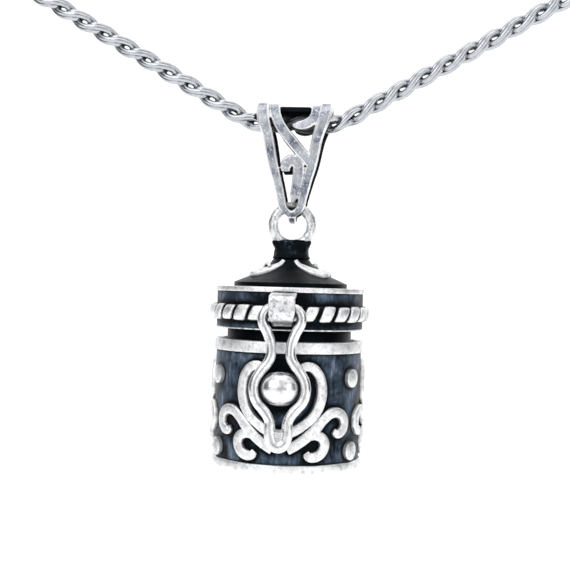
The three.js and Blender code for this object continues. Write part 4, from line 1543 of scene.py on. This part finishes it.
@dataclass
class Latch:
    """The ball on the cup, the wire hasp that closes over it, and its staple.

    Attributes:
        wire: The radius of the hasp's wire.
        pivot_y: How far the hasp's bar is from the axis, towards the back.
        pivot_z: The height of the hasp's bar.
        staple_width: The width of the staple.
        staple_strap: The thickness of its strap.
        seat_y: Where the ball is cut flat against the cup.
        flat_from: How far below its bar the hasp starts to be flattened.
        flat_run: The length over which it is flattened more and more.
        flattening: The share of its thickness that it loses there.
    """

    wire: float = 0.47
    pivot_y: float = -8.19
    pivot_z: float = -17.4
    staple_width: float = 2.3
    staple_strap: float = 0.34
    seat_y: float = -6.78
    flat_from: float = 9.6
    flat_run: float = 2.0
    flattening: float = 0.28

    def __post_init__(self) -> None:
        """Takes the sizes from the frame."""
        self.ball = Span.of("latch_ball")
        self.ball_radius = self.ball.radius
        self.ball_centre = Vector((0, self.ball.low.y + self.ball_radius, self.ball.middle.z))
        self.hasp = Span.of("hasp")
        drop = self.pivot_z - self.ball_centre.z
        self.lean = math.atan2(self.pivot_y - (self.ball_centre.y - 0.45), drop)
        self.ball_drop = drop / math.cos(self.lean)

    def hang(self, obj: bpy.types.Object) -> bpy.types.Object:
        """Hangs a hasp part, drawn round its pivot, in its place."""
        Bench.take(obj)
        move = Matrix.Translation(Vector((0, self.pivot_y, self.pivot_z)) * MM)
        obj.data.transform(move @ Matrix.Rotation(-self.lean, 4, "X"))
        return obj

    def hasp_wire(self) -> bpy.types.Object:
        """The bent wire: an eye round the staple, a waist, a belly round the ball and a flattened end."""
        belly = self.ball_radius + self.wire + 0.2
        right = [
            (0, 0), (0.69, 0), (1.15, -0.01), (1.63, -0.5),
            (1.68, -1.2), (1.2, -2.2), (0.86, -3.3), (0.95, -4.4),
        ]
        for degrees in (40, 15, -10, -32, -50):
            angle = math.radians(degrees)
            right.append((belly * math.cos(angle), -self.ball_drop + belly * math.sin(angle)))
        right += [
            (0.8, -self.ball_drop - 2.75), (0.77, -self.ball_drop - 3.5),
            (0.7, -11.3), (0.5, -11.8), (0, -12.05),
        ]
        sizes = [1.0] * 13 + [1.0, 1.04, 1.08, 1.12, 1.12]
        left = [(-x, z) for x, z in reversed(right[1:-1])]
        points = [Vector((x, 0, z)) * MM for x, z in right + left]
        swell = sizes + sizes[-2:0:-1]
        wire = wire_through("bent_hasp", points, self.wire * MM, swell, closed=True, sides=6, fineness=6)
        line = [(0, -10.75), (0, -11.3), (0, -11.8)]
        fill = Stroke(line, 1.3, 0.7, section=Section.SOFT_STRAP).bend("fill")
        lay_on(fill, lambda x, y, out: Vector((x, 0.36 - out, y)) * MM)
        hasp = Bench.fuse(Bench.join([wire, fill], "bent_hasp"), 0.05 * MM, 5)
        for vertex in hasp.data.vertices:
            down = -vertex.co.z / MM
            flat = min(max((down - self.flat_from) / self.flat_run, 0.0), 1.0)
            vertex.co.y *= 1 - self.flattening * flat
        Bench.hand_work(hasp, 0.02 * MM, 1.5 * MM)
        return self.hang(hasp)

    def staple(self) -> bpy.types.Object:
        """The strap that holds the hasp's bar against the lid, its lower end left rough."""
        span = Span.of("staple")
        front = span.low.y + self.staple_strap / 2
        top, foot = span.high.z, span.low.z
        line = [
            (-7.05, top - 0.12), (-7.35, top - 0.16), (-8.0, top - 0.28),
            (front + 0.12, top - 0.5), (front, top - 0.95), (front, foot + 1.05),
            (front + 0.25, foot + 0.62), (-7.85, foot + 0.3), (-7.62, foot + 0.08),
        ]
        strip = Stroke(line, self.staple_strap, self.staple_width, section=Section.SOFT_STRAP)
        strap = strip.bend("lid_staple")
        half = self.staple_width / 2

        def stand(y: float, z: float, across: float) -> Vector:
            """Stands the strap up across the lid, narrower towards its lower end."""
            down = min(max(0.0, (self.pivot_z + 0.3 - z) / 2.0), 1.0)
            return Vector(((across - half) * (1.03 - 0.3 * down**2), y, z)) * MM

        lay_on(strap, stand)
        Bench.fuse(strap, 0.045 * MM, 6)
        Bench.hand_work(strap, 0.05 * MM, 0.7 * MM)
        return strap

    def build(self, finishes: Finishes) -> None:
        """Builds the ball, the hasp and the staple."""
        Bench.clear()
        bpy.ops.mesh.primitive_uv_sphere_add(
            segments=64, ring_count=40, radius=self.ball_radius * MM, location=self.ball_centre * MM,
            rotation=(math.pi / 2, 0, 0))
        ball = Bench.settle(bpy.context.object, "latch_ball_polished")
        bpy.ops.object.mode_set(mode="EDIT")
        bpy.ops.mesh.select_all(action="SELECT")
        bpy.ops.transform.resize(value=(1.12, 1, 0.98), center_override=tuple(self.ball_centre * MM))
        bpy.ops.mesh.select_all(action="SELECT")
        bpy.ops.mesh.bisect(
            plane_co=(0, self.seat_y * MM, 0), plane_no=(0, 1, 0), use_fill=True, clear_outer=True
        )
        bpy.ops.object.mode_set(mode="OBJECT")
        solder = Bench.bar("solder", 0.95 * MM, Vector((0, -6.75, self.ball_centre.z)) * MM,
                           Vector((0, -7.05, self.ball_centre.z)) * MM)
        ball = Bench.join([ball, solder], "latch_ball_polished")
        dress(Bench.smooth(ball, 60), finishes.polished, Slot.POLISHED, "cup", ["latch_ball"])
        dress(Bench.smooth(self.hasp_wire(), 180), finishes.polished, Slot.POLISHED, "hasp", ["hasp"])
        dress(Bench.smooth(self.staple(), 180), finishes.worn, Slot.POLISHED, "lid", ["staple"])


# ------------------------------------------------------------------ stage


@dataclass
class Studio:
    """The camera, the pale surroundings and the soft lights.

    Attributes:
        distance: From the lens to the locket's axis, in millimetres.
        level: The height of the lens.
        aside: How far the view's middle lies right of the axis.
        turn: How far the camera stands round to the right, in degrees.
        roll: How far the camera leans, in degrees.
        frame_width: The width of the view at the axis.
    """

    distance: float = 105
    level: float = -15.3
    aside: float = -0.53
    turn: float = 4.9
    roll: float = 1.6
    frame_width: float = 54.15

    def camera(self) -> None:
        """Sets up the camera level with the lid."""
        turn = math.radians(self.turn)
        across = Vector((math.cos(turn), math.sin(turn), 0))
        back = Vector((math.sin(turn), -math.cos(turn), 0))
        target = across * self.aside + Vector((0, 0, self.level))
        Bench.clear()
        bpy.ops.object.camera_add(location=(target + back * self.distance) * MM)
        camera = bpy.context.object
        aim = (-back).to_track_quat("-Z", "Y").to_matrix().to_4x4()
        camera.rotation_euler = (aim @ Matrix.Rotation(math.radians(self.roll), 4, "Z")).to_euler()
        camera.name = "studio_camera"
        camera.data.sensor_width = 36
        camera.data.lens = 36 * self.distance / self.frame_width
        camera.data.clip_start = 0.005
        camera.data.clip_end = 5
        bpy.context.scene.camera = camera

    def surroundings(self) -> None:
        """A seamless pale sweep under and behind the locket."""
        Bench.clear()
        bpy.ops.mesh.primitive_plane_add(size=1.6, location=(0, 0, -0.12))
        sweep = Bench.settle(bpy.context.object, "pale_sweep")
        bpy.ops.object.mode_set(mode="EDIT")
        bpy.ops.mesh.select_all(action="DESELECT")
        bpy.ops.object.mode_set(mode="OBJECT")
        for edge in sweep.data.edges:
            edge.select = all(sweep.data.vertices[v].co.y > 0.7 for v in edge.vertices)
        bpy.ops.object.mode_set(mode="EDIT")
        for step in ((0, 0.1, 0.03), (0, 0.06, 0.08), (0, 0.03, 0.15), (0, 0, 0.9)):
            bpy.ops.mesh.extrude_edges_move(TRANSFORM_OT_translate={"value": step})
        bpy.ops.object.mode_set(mode="OBJECT")
        Bench.smooth(sweep, 180)
        book = NodeBook.material("pale_paper")
        tooth = book.bump(book.noise(3), 0.02 * MM)
        sweep.data.materials.append(book.finish(
            (0.93, 0.93, 0.93, 1), 0.9, 0.0, tooth, emission_color=(1, 1, 1, 1), emission_strength=0.35))

    def light(self, name: str, place: tuple[float, float, float], size: tuple[float, float],
              power: float) -> None:
        """Hangs one soft box, aimed at the lid.

        Args:
            name: The lamp's name.
            place: Where it hangs, in millimetres.
            size: Its width and height, in millimetres.
            power: Its power, in watts.
        """
        Bench.clear()
        spot = Vector(place) * MM
        bpy.ops.object.light_add(type="AREA", location=spot)
        lamp = bpy.context.object
        lamp.name = name
        lamp.rotation_euler = (Vector((0, 0, self.level * MM)) - spot).to_track_quat("-Z", "Y").to_euler()
        lamp.data.shape = "RECTANGLE"
        lamp.data.size, lamp.data.size_y = size[0] * MM, size[1] * MM
        lamp.data.energy = power

    def sky(self) -> None:
        """A white tent that the silver mirrors, with dark flags at both sides and round the lens."""
        bpy.context.scene.view_settings.view_transform = "Standard"
        world = bpy.data.worlds.new("white_tent")
        bpy.context.scene.world = world
        book = NodeBook(world)
        way = book.node("ShaderNodeTexCoord", {}, {}).outputs["Generated"]
        axes = book.node("ShaderNodeSeparateXYZ", {}, {0: way})
        across, depth, rise = (Signal(book, axes.outputs[i]) for i in range(3))
        flags = (across * across).ramp(0.5, 0.8) * 0.86
        lens = (depth * -1).ramp(0.955, 0.99)
        folds = book.node("ShaderNodeTexNoise", {}, {"Vector": way, "Scale": 3.0, "Detail": 1})
        cloud = Signal(book, folds.outputs["Fac"])
        shade = flags.largest(lens * 0.6).largest(cloud.ramp(0.5, 0.66) * 0.55)
        colour = book.blend(shade, (1.0, 1.0, 1.0), (0.03, 0.035, 0.045))
        light = book.node("ShaderNodeBackground", {}, {"Color": colour, "Strength": 1.0})
        book.node("ShaderNodeOutputWorld", {}, {"Surface": light.outputs[0]})

    def build(self) -> None:
        """Sets the stage."""
        self.camera()
        self.surroundings()
        self.sky()
        self.light("key", (-120, -160, 120), (160, 160), 0.13)
        self.light("fill", (180, -120, 20), (120, 200), 0.05)
        self.light("top", (0, 10, 220), (220, 220), 0.12)


# ------------------------------------------------------------------ carried-over pieces


def dress_frame_nodes(finishes: Finishes) -> None:
    """Gives the frame's own hinge pieces their finish."""
    for node in ("lid_hinge_leaf", "cup_hinge_leaf", "hinge_pin"):
        shown = frame["nodes"][node]
        shown.data.materials.clear()
        shown.data.materials.append(finishes.worn)
        log.info("%s is kept from the frame", node)


def main() -> None:
    """Builds the stage and every part of the locket in order."""
    logging.basicConfig(level=logging.INFO, format="%(name)s: %(message)s")
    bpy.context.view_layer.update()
    Studio().build()
    finishes = Finishes.make()
    Chain().build(finishes)
    Bail().build(finishes)
    Crown().build(finishes)
    Lid().build(finishes)
    Cup().build(finishes)
    WallOrnament().build(finishes)
    Latch().build(finishes)
    dress_frame_nodes(finishes)


if __name__ == "__main__":
    main()
